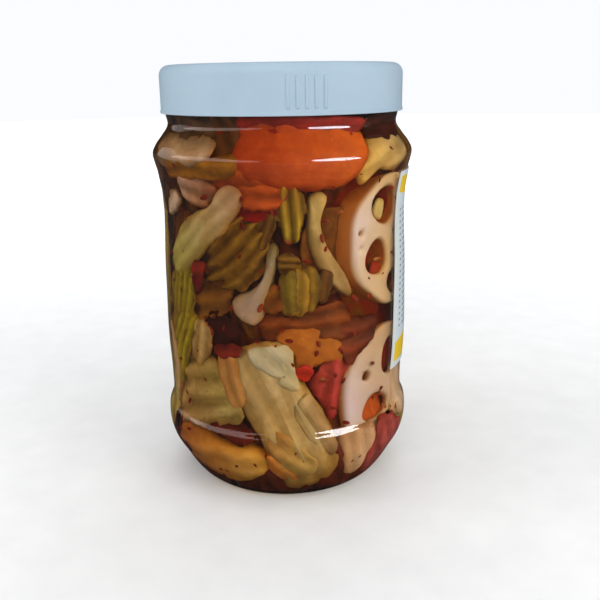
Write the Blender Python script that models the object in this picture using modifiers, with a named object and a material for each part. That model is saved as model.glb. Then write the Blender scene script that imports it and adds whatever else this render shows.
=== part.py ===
# A shut, wide-mouthed clear plastic jar packed with pickled vegetables: lotus root,
# cabbage, carrot, garlic and chilli. Metres, +Z up. The jar stands on z = 0 with its
# axis on Z, and its front is towards -Y. Angles round the jar start at the front and
# grow towards +X.

import math
import random

import bmesh
import bpy
from mathutils import Matrix, Vector

MM = 0.001

# The whole jar
TOTAL_HEIGHT = 153.5 * MM
ROUND_STEPS = 48
PART_GAP = 0.3 * MM

# Jar body: the outer outline from the mouth down to the middle of the base, as radius,
# height and the number of chords up to the next point
JAR_WALL = 1.0 * MM
JAR_OUTLINE = [
    (40.9 * MM, 151.5 * MM, 1),
    (41.6 * MM, 150.4 * MM, 1),
    (41.7 * MM, 136.6 * MM, 1),
    (41.2 * MM, 133.6 * MM, 2),
    (43.6 * MM, 129.5 * MM, 1),
    (45.8 * MM, 126.6 * MM, 1),
    (47.1 * MM, 123.7 * MM, 1),
    (46.6 * MM, 120.5 * MM, 1),
    (45.8 * MM, 117.5 * MM, 1),
    (45.1 * MM, 80.0 * MM, 1),
    (45.4 * MM, 55.0 * MM, 1),
    (44.8 * MM, 40.0 * MM, 1),
    (45.6 * MM, 31.0 * MM, 1),
    (46.7 * MM, 23.5 * MM, 1),
    (45.6 * MM, 17.2 * MM, 1),
    (42.5 * MM, 11.5 * MM, 1),
    (39.0 * MM, 5.5 * MM, 1),
    (36.3 * MM, 2.2 * MM, 1),
    (32.6 * MM, 0.0, 1),
    (29.4 * MM, 0.0, 1),
    (26.0 * MM, 1.6 * MM, 1),
    (14.0 * MM, 3.6 * MM, 1),
    (0.0, 4.2 * MM, 1),
]

# Lid
LID_RADIUS = 43.5 * MM
LID_HEIGHT = 16.2 * MM
LID_WALL = 1.2 * MM
LID_CORNER = 3.6 * MM
LID_CORNER_CHORDS = 4
LID_PANEL_RADIUS = 37.5 * MM
LID_PANEL_DEPTH = 0.4 * MM
LID_LIP_HEIGHT = 1.2 * MM
LID_LIP_PROUD = 0.25 * MM
RIB_GROUPS = 3
RIBS_IN_GROUP = 5
RIB_GROUP_ANGLE = 10.4
RIB_PITCH = 3.0 * MM
RIB_WIDTH = 1.1 * MM
RIB_PROUD = 0.45 * MM
RIB_BOTTOM = 2.0 * MM
RIB_TOP = 4.0 * MM

# Label: a thin skin round the right side and the back
LABEL_BOTTOM = 45.6 * MM
LABEL_TOP = 117.3 * MM
LABEL_START_TOP = 61.5
LABEL_START_BOTTOM = 56.5
LABEL_END = 210.0
LABEL_THICKNESS = 0.25 * MM
LABEL_COLUMNS = 20

# The packed vegetables
HEAP_CLEARANCE = 2.0 * MM
HEAP_FLOOR = 7.0 * MM
HEAP_TOP = 147.0 * MM
CORE_DEPTH = 11.5 * MM
ROOT_DEPTH = 3.0 * MM
CORE_RELIEF = 2.2 * MM
CORE_SIDES = 18
CORE_ROWS = 10
LOTUS_THICKNESS = 8.0 * MM
LOTUS_HOLES = 7
CARROT_THICKNESS = 11.0 * MM
FILL_SEED = 3


def smooth_outline(keys):
    """Points on a Catmull-Rom curve through the keys, with each key's own number of chords."""
    points = []
    last = len(keys) - 1
    for index in range(last):
        before = Vector(keys[max(index - 1, 0)][:2])
        start = Vector(keys[index][:2])
        end = Vector(keys[index + 1][:2])
        after = Vector(keys[min(index + 2, last)][:2])
        chords = keys[index][2]
        for step in range(chords):
            t = step / chords
            point = 0.5 * (
                2 * start
                + (end - before) * t
                + (2 * before - 5 * start + 4 * end - after) * t**2
                + (3 * start - before - 3 * end + after) * t**3
            )
            points.append((point.x, point.y))
    points.append(keys[last][:2])
    return points


JAR_POINTS = smooth_outline(JAR_OUTLINE)


def jar_radius(height):
    """The jar's outer radius at a height above its foot."""
    for (upper_radius, upper), (lower_radius, lower) in zip(JAR_POINTS, JAR_POINTS[1:]):
        if lower <= height <= upper and upper > lower:
            share = (height - lower) / (upper - lower)
            return lower_radius + share * (upper_radius - lower_radius)
    return JAR_POINTS[0][0]


def contents_radius(height):
    """The largest radius that the contents may reach at a height."""
    return jar_radius(height) - HEAP_CLEARANCE


def round_point(angle, height, radius):
    """A point at an angle in radians, a height and a radius."""
    return Vector((radius * math.sin(angle), -radius * math.cos(angle), height))


def wall_point(angle, height, depth):
    """A point just inside the wall, a depth behind the reach of the contents."""
    held = min(max(height, HEAP_FLOOR), HEAP_TOP)
    return round_point(angle, held, contents_radius(held) - depth)


def remove_everything():
    for obj in list(bpy.data.objects):
        bpy.data.objects.remove(obj, do_unlink=True)
    for collection in list(bpy.data.collections):
        bpy.data.collections.remove(collection)


def new_collection(name):
    collection = bpy.data.collections.new(name)
    bpy.context.scene.collection.children.link(collection)
    return collection


def new_material(name, colour, roughness, metallic=0.0):
    material = bpy.data.materials.new(name)
    material.use_nodes = True
    shader = material.node_tree.nodes["Principled BSDF"]
    shader.inputs["Base Color"].default_value = (*colour, 1.0)
    shader.inputs["Roughness"].default_value = roughness
    shader.inputs["Metallic"].default_value = metallic
    return material


def new_object(name, mesh, collection):
    obj = bpy.data.objects.new(name, mesh)
    collection.objects.link(obj)
    return obj


def mesh_from(name, bm):
    mesh = bpy.data.meshes.new(name)
    bm.to_mesh(mesh)
    bm.free()
    return mesh


def turned(name, outline, collection):
    """An open surface of revolution from (radius, height) pairs, outer side first."""
    mesh = bpy.data.meshes.new(name)
    points = [(radius, 0.0, height) for radius, height in outline]
    mesh.from_pydata(points, [(i, i + 1) for i in range(len(points) - 1)], [])
    obj = new_object(name, mesh, collection)
    screw = obj.modifiers.new("Turn", "SCREW")
    screw.steps = ROUND_STEPS
    screw.render_steps = ROUND_STEPS
    screw.use_merge_vertices = True
    screw.merge_threshold = 0.01 * MM
    return obj


def add_wall(obj, thickness, outwards=False):
    solidify = obj.modifiers.new("Wall", "SOLIDIFY")
    solidify.thickness = thickness
    solidify.offset = 1.0 if outwards else -1.0
    solidify.use_even_offset = True
    return solidify


def join_collection(obj, collection, solver="EXACT"):
    join = obj.modifiers.new("Join", "BOOLEAN")
    join.operation = "UNION"
    join.operand_type = "COLLECTION"
    join.collection = collection
    join.solver = solver
    return join


def make_jar(parts):
    jar = turned("jar", JAR_POINTS, parts)
    add_wall(jar, JAR_WALL)
    jar.data.materials.append(new_material("clear_plastic", (0.75, 0.8, 0.8), 0.06))
    return jar


def lid_outline():
    """From the middle of the lid's top, over the rounded corner, down to its lower lip."""
    bottom = TOTAL_HEIGHT - LID_HEIGHT
    skirt = LID_RADIUS - LID_LIP_PROUD
    panel = TOTAL_HEIGHT - LID_PANEL_DEPTH
    outline = [(0.0, panel), (LID_PANEL_RADIUS - LID_PANEL_DEPTH, panel)]
    outline.append((LID_PANEL_RADIUS, TOTAL_HEIGHT))
    for step in range(LID_CORNER_CHORDS + 1):
        turn = math.radians(90) * step / LID_CORNER_CHORDS
        radius = skirt - LID_CORNER * (1 - math.sin(turn))
        height = TOTAL_HEIGHT - LID_CORNER * (1 - math.cos(turn))
        outline.append((radius, height))
    outline.append((skirt, bottom + LID_LIP_HEIGHT))
    outline.append((LID_RADIUS, bottom + LID_LIP_HEIGHT - LID_LIP_PROUD))
    outline.append((LID_RADIUS, bottom))
    return outline


def make_lid(parts, cutters):
    lid = turned("lid", lid_outline(), parts)
    add_wall(lid, LID_WALL)
    lid.data.materials.append(new_material("white_plastic", (0.62, 0.68, 0.74), 0.38))
    ribs = bpy.data.collections.new("ribs")
    cutters.children.link(ribs)
    skirt = LID_RADIUS - LID_LIP_PROUD
    low = TOTAL_HEIGHT - LID_HEIGHT + RIB_BOTTOM
    high = TOTAL_HEIGHT - RIB_TOP
    sunk = LID_WALL / 2
    for group in range(RIB_GROUPS):
        middle = math.radians(RIB_GROUP_ANGLE + 360 * group / RIB_GROUPS)
        for index in range(RIBS_IN_GROUP):
            offset = (index - (RIBS_IN_GROUP - 1) / 2) * RIB_PITCH / skirt
            bm = bmesh.new()
            bmesh.ops.create_cube(bm, size=1.0)
            size = (RIB_WIDTH, RIB_PROUD + sunk, high - low)
            bmesh.ops.scale(bm, vec=size, verts=bm.verts)
            rib = new_object(f"rib_{group}_{index}", mesh_from("rib", bm), ribs)
            reach = skirt + (RIB_PROUD - sunk) / 2
            rib.location = round_point(middle + offset, (low + high) / 2, reach)
            rib.rotation_euler = (0, 0, middle + offset)
            rib.hide_render = True
            rib.display_type = "WIRE"
    join_collection(lid, ribs)
    return lid


def make_label(parts):
    """A grid laid round the body, whose first edge is cut a little aslant."""
    rows = [LABEL_BOTTOM] + [h for _, h in reversed(JAR_POINTS) if LABEL_BOTTOM < h < LABEL_TOP]
    rows.append(LABEL_TOP)
    bm = bmesh.new()
    bmesh.ops.create_grid(bm, x_segments=LABEL_COLUMNS, y_segments=len(rows) - 1, size=1.0)
    for vert in bm.verts:
        row = round((vert.co.y + 1) / 2 * (len(rows) - 1))
        height = rows[row]
        up = (height - LABEL_BOTTOM) / (LABEL_TOP - LABEL_BOTTOM)
        start = LABEL_START_BOTTOM + up * (LABEL_START_TOP - LABEL_START_BOTTOM)
        angle = math.radians(start + (vert.co.x + 1) / 2 * (LABEL_END - start))
        vert.co = round_point(angle, height, jar_radius(height) + PART_GAP)
    label = new_object("label", mesh_from("label", bm), parts)
    add_wall(label, LABEL_THICKNESS, outwards=True)
    label.data.materials.append(new_material("label_film", (0.75, 0.8, 0.83), 0.3))
    return label


def seat(angle, height, turn=0.0, lean=0.0):
    """Local X runs right along the wall, Y up and Z outwards; turn tips the top to the
    right and lean tips it inwards, both in degrees."""
    around = math.radians(angle)
    right = Vector((math.cos(around), math.sin(around), 0.0))
    out = Vector((math.sin(around), -math.cos(around), 0.0))
    frame = Matrix((right, Vector((0.0, 0.0, 1.0)), out)).transposed().to_4x4()
    turned_frame = frame @ Matrix.Rotation(math.radians(-lean), 4, "X")
    turned_frame = turned_frame @ Matrix.Rotation(math.radians(-turn), 4, "Z")
    return Matrix.Translation((0.0, 0.0, height)) @ turned_frame


def push_out(obj, angle, depth=0.0):
    """Slides a rigid piece outwards from the axis until its first point meets the wall."""
    out = Vector((math.sin(math.radians(angle)), -math.cos(math.radians(angle))))
    reach = []
    for vert in obj.data.vertices:
        along = vert.co.xy.dot(out)
        spare = along**2 - vert.co.xy.length_squared + contents_radius(vert.co.z) ** 2
        reach.append(math.sqrt(max(spare, 0.0)) - along)
    shift = out * (min(reach) - depth)
    obj.data.transform(Matrix.Translation((shift.x, shift.y, 0.0)))


def circle_points(radius, count, wobble=0.0, lobes=5, stretch=1.0, phase=0.0):
    points = []
    for index in range(count):
        turn = 2 * math.pi * index / count
        reach = radius * (1 + wobble * math.cos(lobes * turn + phase))
        points.append((reach * math.cos(turn), reach * stretch * math.sin(turn)))
    return points


def cut_slice(name, loops, thickness, pieces):
    """A slice of the thickness with its front face on local Z = 0, from closed loops."""
    curve = bpy.data.curves.new(name, "CURVE")
    curve.dimensions = "2D"
    curve.fill_mode = "BOTH"
    curve.extrude = thickness / 2
    for loop in loops:
        spline = curve.splines.new("POLY")
        spline.points.add(len(loop) - 1)
        spline.use_cyclic_u = True
        for point, (x, y) in zip(spline.points, loop):
            point.co = (x, y, 0.0, 1.0)
    drawn = new_object(name, curve, pieces)
    depsgraph = bpy.context.evaluated_depsgraph_get()
    mesh = bpy.data.meshes.new_from_object(drawn.evaluated_get(depsgraph))
    bpy.data.objects.remove(drawn, do_unlink=True)
    bm = bmesh.new()
    bm.from_mesh(mesh)
    bmesh.ops.remove_doubles(bm, verts=bm.verts, dist=0.01 * MM)
    bmesh.ops.translate(bm, vec=(0.0, 0.0, -thickness / 2), verts=bm.verts)
    bmesh.ops.recalc_face_normals(bm, faces=bm.faces)
    bm.to_mesh(mesh)
    bm.free()
    return new_object(name, mesh, pieces)


def lotus_slice(pieces, angle, height, radius, turn=0.0, lean=0.0, depth=0.0):
    """A round slice with a ring of holes and a small one in the middle."""
    loops = [circle_points(radius, 18, wobble=0.02, lobes=LOTUS_HOLES)]
    for index in range(LOTUS_HOLES):
        around = 2 * math.pi * (index + 0.5) / LOTUS_HOLES
        ring = radius * 0.6
        wide = radius * (0.17 if index % 2 else 0.14)
        hole = circle_points(wide, 5, stretch=1.2)
        loops.append([(ring * math.cos(around) + x, ring * math.sin(around) + y) for x, y in hole])
    obj = cut_slice("lotus", loops, LOTUS_THICKNESS, pieces)
    obj.data.transform(seat(angle, height, turn, lean))
    push_out(obj, angle, depth)


def carrot_slice(pieces, angle, height, radius, stretch=1.0, turn=0.0, lean=0.0, depth=0.0):
    loop = circle_points(radius, 14, wobble=0.03, lobes=3, stretch=stretch, phase=angle)
    obj = cut_slice("carrot", [loop], CARROT_THICKNESS, pieces)
    obj.data.transform(seat(angle, height, turn, lean))
    push_out(obj, angle, depth)


def wall_strip(pieces, angle, height, width, length, turn=0.0, depth=0.0, bend=0.0, arch=0.0,
               wave=0.0, waves=2.0, taper=0.25, cells=(2, 4)):
    """A stem or leaf that lies along the wall and reaches back into the core. bend curves it
    in its plane, and arch and wave sink parts of its face behind the wall."""
    tilt = math.radians(turn)
    bm = bmesh.new()
    bmesh.ops.create_grid(bm, x_segments=cells[0], y_segments=cells[1], size=1.0)
    grown = bmesh.ops.extrude_face_region(bm, geom=bm.faces[:], use_keep_orig=True)
    rear = {item for item in grown["geom"] if isinstance(item, bmesh.types.BMVert)}
    for vert in bm.verts:
        across, along = vert.co.x, vert.co.y
        half = width / 2 * (1 - taper * along**2)
        x = across * half + bend * (along**2 - 0.5)
        y = along * length / 2
        behind = depth + arch * across**2
        behind += wave * (1 + math.sin(waves * math.pi * across + 1.3 * along)) / 2
        right = x * math.cos(tilt) + y * math.sin(tilt)
        rise = y * math.cos(tilt) - x * math.sin(tilt)
        around = math.radians(angle) + right / contents_radius(height)
        sunk = CORE_DEPTH + ROOT_DEPTH if vert in rear else behind
        vert.co = wall_point(around, height + rise, sunk)
    bmesh.ops.recalc_face_normals(bm, faces=bm.faces)
    return new_object("strip", mesh_from("strip", bm), pieces)


def garlic_clove(pieces, angle, height, width, length, turn=0.0, depth=0.0):
    """A drop, round below and drawn out above."""
    bm = bmesh.new()
    bmesh.ops.create_uvsphere(bm, u_segments=10, v_segments=7, radius=1.0)
    bmesh.ops.rotate(bm, matrix=Matrix.Rotation(math.radians(-90), 3, "X"), verts=bm.verts)
    for vert in bm.verts:
        slim = 1 - 0.62 * max(vert.co.y, 0.0)
        vert.co.x *= slim * width / 2
        vert.co.z *= slim * width / 2
        vert.co.y *= length / 2
    obj = new_object("clove", mesh_from("clove", bm), pieces)
    obj.data.transform(seat(angle, height, turn))
    push_out(obj, angle, depth)


def green_stalk(pieces, angle, height, radius, length, turn=0.0, depth=0.0):
    """A straight round stalk with cut ends."""
    bm = bmesh.new()
    narrow = radius * 0.9
    bmesh.ops.create_cone(
        bm, cap_ends=True, segments=8, radius1=radius, radius2=narrow, depth=length
    )
    bmesh.ops.rotate(bm, matrix=Matrix.Rotation(math.radians(-90), 3, "X"), verts=bm.verts)
    obj = new_object("stalk", mesh_from("stalk", bm), pieces)
    obj.data.transform(seat(angle, height, turn))
    push_out(obj, angle, depth)


def front_pieces(pieces):
    """The vegetables that show at the front, from the shoulder down to the foot."""
    # lotus root, lower right and upper right, with another slice behind the upper one
    lotus_slice(pieces, 62, 94 * MM, 26 * MM, turn=12)
    lotus_slice(pieces, 40, 99 * MM, 23 * MM, turn=30, depth=9 * MM)
    lotus_slice(pieces, 57, 41 * MM, 26 * MM, turn=-8)
    # carrot at the shoulder, in the neck and in the middle
    carrot_slice(pieces, 6, 124 * MM, 21 * MM, stretch=0.52, lean=12)
    carrot_slice(pieces, 4, 139.5 * MM, 16 * MM, stretch=0.45, turn=4)
    carrot_slice(pieces, 10, 61.5 * MM, 13.5 * MM, stretch=0.62, depth=1.5 * MM)
    # pale cabbage stems
    wall_strip(pieces, -42, 101 * MM, 15 * MM, 40 * MM, turn=50, arch=1.5 * MM, bend=-3 * MM)
    wall_strip(pieces, 0, 36 * MM, 25 * MM, 56 * MM, turn=-17, arch=2 * MM, taper=0.1)
    wall_strip(pieces, -27, 50 * MM, 9 * MM, 26 * MM, turn=-12, arch=1 * MM, depth=1 * MM)
    wall_strip(pieces, -29, 18 * MM, 15 * MM, 30 * MM, turn=74, arch=2 * MM, depth=1 * MM)
    wall_strip(pieces, 29, 17 * MM, 11 * MM, 20 * MM, turn=-10, arch=1 * MM, depth=1 * MM)
    wall_strip(pieces, 47, 129 * MM, 9 * MM, 22 * MM, turn=-35, arch=1 * MM)
    # leaves down the left side and folds in the middle
    wall_strip(pieces, -64, 72 * MM, 16 * MM, 48 * MM, turn=4, wave=3 * MM, depth=0.5 * MM)
    wall_strip(pieces, -45, 45 * MM, 24 * MM, 32 * MM, wave=3 * MM, depth=1.5 * MM)
    wall_strip(pieces, -43, 116 * MM, 18 * MM, 24 * MM, turn=25, wave=2 * MM, depth=1 * MM)
    wall_strip(pieces, -22, 91 * MM, 26 * MM, 34 * MM, turn=6, wave=3.5 * MM, depth=3 * MM, waves=3)
    wall_strip(pieces, -38, 133 * MM, 16 * MM, 16 * MM, turn=70, wave=1.5 * MM)
    # onion leaves and a tied bundle of stalks
    wall_strip(pieces, 5, 107 * MM, 8 * MM, 22 * MM, wave=1 * MM, depth=0.5 * MM)
    wall_strip(pieces, -7, 104 * MM, 6 * MM, 24 * MM, turn=14, wave=1 * MM, depth=2 * MM)
    wall_strip(pieces, 8, 83 * MM, 15 * MM, 15 * MM, depth=3.5 * MM)
    for index in range(4):
        angle = 1.5 + 4.6 * index
        length = (19 - 2 * index) * MM
        green_stalk(pieces, angle, 83 * MM, 2.2 * MM, length, turn=4, depth=0.5 * MM)
    # garlic and chillies
    garlic_clove(pieces, -12, 82 * MM, 14 * MM, 29 * MM, turn=18, depth=1 * MM)
    wall_strip(pieces, 20, 45 * MM, 12 * MM, 27 * MM, turn=-14, wave=2 * MM, depth=1.5 * MM)
    wall_strip(pieces, -11, 109 * MM, 9 * MM, 13 * MM, turn=40, depth=1 * MM)
    wall_strip(pieces, -26, 60 * MM, 4 * MM, 13 * MM, turn=78, depth=0.5 * MM)
    wall_strip(pieces, 50, 21 * MM, 12 * MM, 18 * MM, turn=20, wave=1.5 * MM, depth=1 * MM)


def filling_pieces(pieces):
    """The same kinds of pieces, spread round the sides and the back by rule."""
    draw = random.Random(FILL_SEED)
    levels = (20, 44, 68, 92, 116, 135)
    kinds = ("stem", "lotus", "leaf", "carrot", "stem", "leaf", "chilli")
    turn_index = 0
    for row, level in enumerate(levels):
        for column in range(5):
            angle = 102 + 38 * column + (16 if row % 2 else 0) + draw.uniform(-5, 5)
            height = (level + draw.uniform(-3, 3)) * MM
            turn = draw.uniform(-50, 50)
            kind = kinds[turn_index % len(kinds)]
            turn_index += 1
            crowded = level < 30 or level > 125
            if kind == "lotus" and not crowded:
                lotus_slice(pieces, angle, height, 22 * MM, turn=turn)
            elif kind == "carrot" and level < 125:
                carrot_slice(pieces, angle, height, 13 * MM, stretch=0.7, turn=turn)
            elif kind == "leaf":
                wall_strip(pieces, angle, height, 20 * MM, 22 * MM, turn, wave=3 * MM)
            elif kind == "chilli":
                wall_strip(pieces, angle, height, 6 * MM, 18 * MM, turn, depth=1 * MM)
            else:
                wall_strip(pieces, angle, height, 14 * MM, 26 * MM, turn, arch=2 * MM)


def heap_core(parts):
    """A lumpy body behind the pieces, which they are fused to."""
    bm = bmesh.new()
    bmesh.ops.create_uvsphere(bm, u_segments=CORE_SIDES, v_segments=CORE_ROWS, radius=1.0)
    low, high = HEAP_FLOOR, HEAP_TOP - 2 * MM
    for vert in bm.verts:
        polar = math.acos(max(-1.0, min(1.0, vert.co.z)))
        level = 1 - polar / math.pi
        angle = math.atan2(vert.co.x, -vert.co.y)
        height = low + (high - low) * min(max((level - 0.08) / 0.84, 0.0), 1.0)
        lumps = math.sin(3 * angle + 40 * level) + math.sin(5 * angle - 23 * level)
        radius = contents_radius(height) - CORE_DEPTH + CORE_RELIEF * lumps / 2
        pole = 0.0 if vert.co.xy.length < 0.001 else 1.0
        ledge = 1.0 if 0.08 < level < 0.92 else 0.55
        vert.co = round_point(angle, height, radius * pole * ledge)
    core = new_object("kimchi_heap", mesh_from("kimchi_heap", bm), parts)
    return core


def keep_largest_body(mesh):
    """Drops loose scraps and fills sealed hollows: only the largest shell stays."""
    bm = bmesh.new()
    bm.from_mesh(mesh)
    unseen = set(bm.faces)
    shells = []
    while unseen:
        front = [unseen.pop()]
        shell = []
        while front:
            face = front.pop()
            shell.append(face)
            for edge in face.edges:
                for other in edge.link_faces:
                    if other in unseen:
                        unseen.remove(other)
                        front.append(other)
        shells.append(shell)
    shells.sort(key=len, reverse=True)
    scraps = [face for shell in shells[1:] for face in shell]
    bmesh.ops.delete(bm, geom=scraps, context="FACES")
    bm.to_mesh(mesh)
    bm.free()


def make_heap(parts, cutters):
    heap = heap_core(parts)
    pieces = bpy.data.collections.new("heap_pieces")
    cutters.children.link(pieces)
    front_pieces(pieces)
    filling_pieces(pieces)
    join_collection(heap, pieces)
    depsgraph = bpy.context.evaluated_depsgraph_get()
    mesh = bpy.data.meshes.new_from_object(heap.evaluated_get(depsgraph))
    heap.modifiers.clear()
    heap.data = mesh
    for piece in list(pieces.objects):
        bpy.data.objects.remove(piece, do_unlink=True)
    bpy.data.collections.remove(pieces)
    keep_largest_body(mesh)
    mesh.materials.clear()
    mesh.materials.append(new_material("pickled_vegetables", (0.55, 0.26, 0.09), 0.45))
    return heap


def shade_round(objects):
    for obj in objects:
        obj.data.shade_smooth()
        obj.data.set_sharp_from_angle(angle=math.radians(35))


def main():
    remove_everything()
    parts = new_collection("kimchi_jar")
    cutters = new_collection("cutters")
    jar = make_jar(parts)
    lid = make_lid(parts, cutters)
    label = make_label(parts)
    heap = make_heap(parts, cutters)
    shade_round([label, heap])
    for obj in (jar, lid):
        obj.modifiers["Turn"].use_smooth_shade = True


main()
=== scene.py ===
import math
import random

import bmesh
import bpy
from mathutils import Matrix, Vector, noise


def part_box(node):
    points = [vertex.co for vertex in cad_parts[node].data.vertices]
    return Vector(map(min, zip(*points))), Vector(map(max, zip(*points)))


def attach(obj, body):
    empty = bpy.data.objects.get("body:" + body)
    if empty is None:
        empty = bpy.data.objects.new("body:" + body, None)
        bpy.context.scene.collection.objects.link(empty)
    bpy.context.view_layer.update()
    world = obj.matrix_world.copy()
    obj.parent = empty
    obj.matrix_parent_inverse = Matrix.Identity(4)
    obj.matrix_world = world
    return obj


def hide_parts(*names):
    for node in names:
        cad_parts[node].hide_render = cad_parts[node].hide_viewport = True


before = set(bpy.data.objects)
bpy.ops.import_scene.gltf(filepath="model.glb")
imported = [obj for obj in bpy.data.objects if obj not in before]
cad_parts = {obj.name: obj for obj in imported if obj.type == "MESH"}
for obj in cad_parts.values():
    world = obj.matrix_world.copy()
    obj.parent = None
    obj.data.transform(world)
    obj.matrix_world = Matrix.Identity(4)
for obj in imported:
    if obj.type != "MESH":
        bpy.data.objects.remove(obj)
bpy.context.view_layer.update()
mm = 0.001
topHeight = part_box("lid")[1].z
scene = bpy.context.scene

jar = {
    # outer outline as in the solid: radius and height in mm, from the mouth to the foot
    "outline": [
        (40.9, 151.5), (41.6, 150.4), (41.7, 136.6), (41.2, 133.6), (43.6, 129.5),
        (45.8, 126.6), (47.1, 123.7), (46.6, 120.5), (45.8, 117.5), (45.1, 80.0),
        (45.4, 55.0), (44.8, 40.0), (44.9, 32.6), (45.3, 30.4), (46.3, 28.6), (46.8, 25.0),
        (45.6, 17.2), (42.5, 11.5), (39.0, 5.5), (36.3, 2.2), (32.6, 0.0), (29.4, 0.0),
        (26.0, 1.6), (14.0, 3.6), (0.0, 4.2),
    ],
    "chords": 5,
    "steps": 144,
    "wall": 1.0 * mm,
    "widest": 47.1 * mm,
}
brine = {
    "overlap": 0.35 * mm,  # how far it reaches into the wall
    "level": 150.2 * mm,
    "colour": (0.965, 0.78, 0.10),
    "density": 130.0,
}


def paint(red, green, blue):  # a colour as a screen shows it, made linear; tables below hold screen colours
    return tuple((c / 255) ** 2.2 for c in (red, green, blue))


def smoothPath(keys, chords, closed=False):  # a curve through the keys, steady where they lie close
    keys = [Vector(key) for key in keys]
    count = len(keys)
    slopes = []
    for index, key in enumerate(keys):
        before = keys[index - 1] if closed or index else key
        after = keys[(index + 1) % count] if closed or index < count - 1 else key
        near = (key - before).length
        far = (after - key).length
        slope = Vector((0.0, 0.0))
        if near:
            slope += (key - before) / near * far
        if far:
            slope += (after - key) / far * near
        if not near or not far:
            slope = after - before
            near, far = slope.length, 0.0
        slopes.append(slope / (near + far))
    points = []
    for index in range(count if closed else count - 1):
        start, end = keys[index], keys[(index + 1) % count]
        length = (end - start).length
        for step in range(chords):
            t = step / chords
            point = start * (1 - 3 * t**2 + 2 * t**3) + end * (3 * t**2 - 2 * t**3)
            point += slopes[index] * length * (t - 2 * t**2 + t**3)
            point += slopes[(index + 1) % count] * length * (t**3 - t**2)
            points.append(point)
    if not closed:
        points.append(keys[-1])
    return points


def evenLoop(points, count):  # the same closed curve with evenly spaced points
    lengths = [0.0]
    for index, point in enumerate(points):
        lengths.append(lengths[-1] + (points[(index + 1) % len(points)] - point).length)
    loop = []
    index = 0
    for step in range(count):
        goal = lengths[-1] * step / count
        while lengths[index + 1] < goal:
            index += 1
        share = (goal - lengths[index]) / (lengths[index + 1] - lengths[index])
        loop.append(points[index].lerp(points[(index + 1) % len(points)], share))
    return loop


def insetPath(points, distance):  # the same path moved towards the inside of the jar
    moved = []
    for index, point in enumerate(points):
        ahead = points[min(index + 1, len(points) - 1)] - points[max(index - 1, 0)]
        ahead.normalize()
        moved.append(Vector((max(point.x + distance * ahead.y, 0.0), point.y - distance * ahead.x)))
    moved[-1].x = 0.0
    return moved


outerPath = []
for point in smoothPath(jar["outline"], jar["chords"]):
    outerPath.append(Vector((min(point.x * mm, jar["widest"]), max(point.y, 0.0) * mm)))
innerPath = insetPath(outerPath, jar["wall"])


def radiusOn(path, height):  # how far out a path is at a height
    for upper, lower in zip(path, path[1:]):
        if lower.y <= height <= upper.y and upper.y > lower.y:
            share = (height - lower.y) / (upper.y - lower.y)
            return lower.x + share * (upper.x - lower.x)
    return path[0].x


def innerRadius(height):  # inside of the wall at a height
    return radiusOn(innerPath, height)


def roundPoint(angle, height, radius):  # angle in radians from the front, towards +X
    return Vector((radius * math.sin(angle), -radius * math.cos(angle), height))


# every finished piece goes through here
def finishPiece(obj, nodes, material=None):
    if material:
        obj.data.materials.clear()
        obj.data.materials.append(material)
    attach(obj, "root")
    for name in nodes:
        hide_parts(name)


def placeObject(name, data):
    obj = bpy.data.objects.new(name, data)
    scene.collection.objects.link(obj)
    return obj


def meshObject(name, bm):
    mesh = bpy.data.meshes.new(name)
    bm.to_mesh(mesh)
    bm.free()
    return placeObject(name, mesh)


def applyModifiers(obj):
    depsgraph = bpy.context.evaluated_depsgraph_get()
    mesh = bpy.data.meshes.new_from_object(obj.evaluated_get(depsgraph))
    obj.modifiers.clear()
    obj.data = mesh
    return obj


def turnedObject(name, path, steps):  # outer side first, down to the foot
    mesh = bpy.data.meshes.new(name)
    mesh.from_pydata([(p.x, 0.0, p.y) for p in path], [(i, i + 1) for i in range(len(path) - 1)], [])
    obj = placeObject(name, mesh)
    screw = obj.modifiers.new("Turn", "SCREW")
    screw.steps = steps
    screw.render_steps = steps
    screw.use_merge_vertices = True
    screw.merge_threshold = 0.01 * mm
    return obj


def giveWall(obj, thickness):  # inwards from the outer skin
    wall = obj.modifiers.new("Wall", "SOLIDIFY")
    wall.thickness = thickness
    wall.offset = -1.0
    wall.use_even_offset = True
    applyModifiers(obj)
    obj.data.shade_smooth()


# node helpers for the materials
def newMaterial(name, roughness, specular=0.5):
    material = bpy.data.materials.new(name)
    material.use_nodes = True
    tree = material.node_tree
    shader = tree.nodes["Principled BSDF"]
    shader.inputs["Roughness"].default_value = roughness
    shader.inputs["Specular IOR Level"].default_value = specular
    return material, tree, shader


def addNode(tree, kind, inputs=None, **settings):
    made = tree.nodes.new(kind)
    for name, value in settings.items():
        setattr(made, name, value)
    for name, value in (inputs or {}).items():
        if isinstance(value, bpy.types.NodeSocket):
            tree.links.new(value, made.inputs[name])
        else:
            made.inputs[name].default_value = value
    return made


def objectCoords(tree):
    return addNode(tree, "ShaderNodeTexCoord").outputs["Object"]


def speckle(tree, coords, scale, detail=3.0, rough=0.55, stretch=(1, 1, 1)):
    spot = addNode(tree, "ShaderNodeMapping", {"Vector": coords, "Scale": stretch})
    made = addNode(
        tree, "ShaderNodeTexNoise",
        {"Vector": spot.outputs[0], "Scale": scale, "Detail": detail, "Roughness": rough},
    )
    return made.outputs["Fac"]


def ramp(tree, factor, stops):  # stops are (position, linear colour)
    made = addNode(tree, "ShaderNodeValToRGB", {"Fac": factor})
    while len(made.color_ramp.elements) < len(stops):
        made.color_ramp.elements.new(0.5)
    for element, (position, colour) in zip(made.color_ramp.elements, stops):
        element.position = position
        element.color = (*colour, 1.0)
    return made.outputs["Color"]


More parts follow.
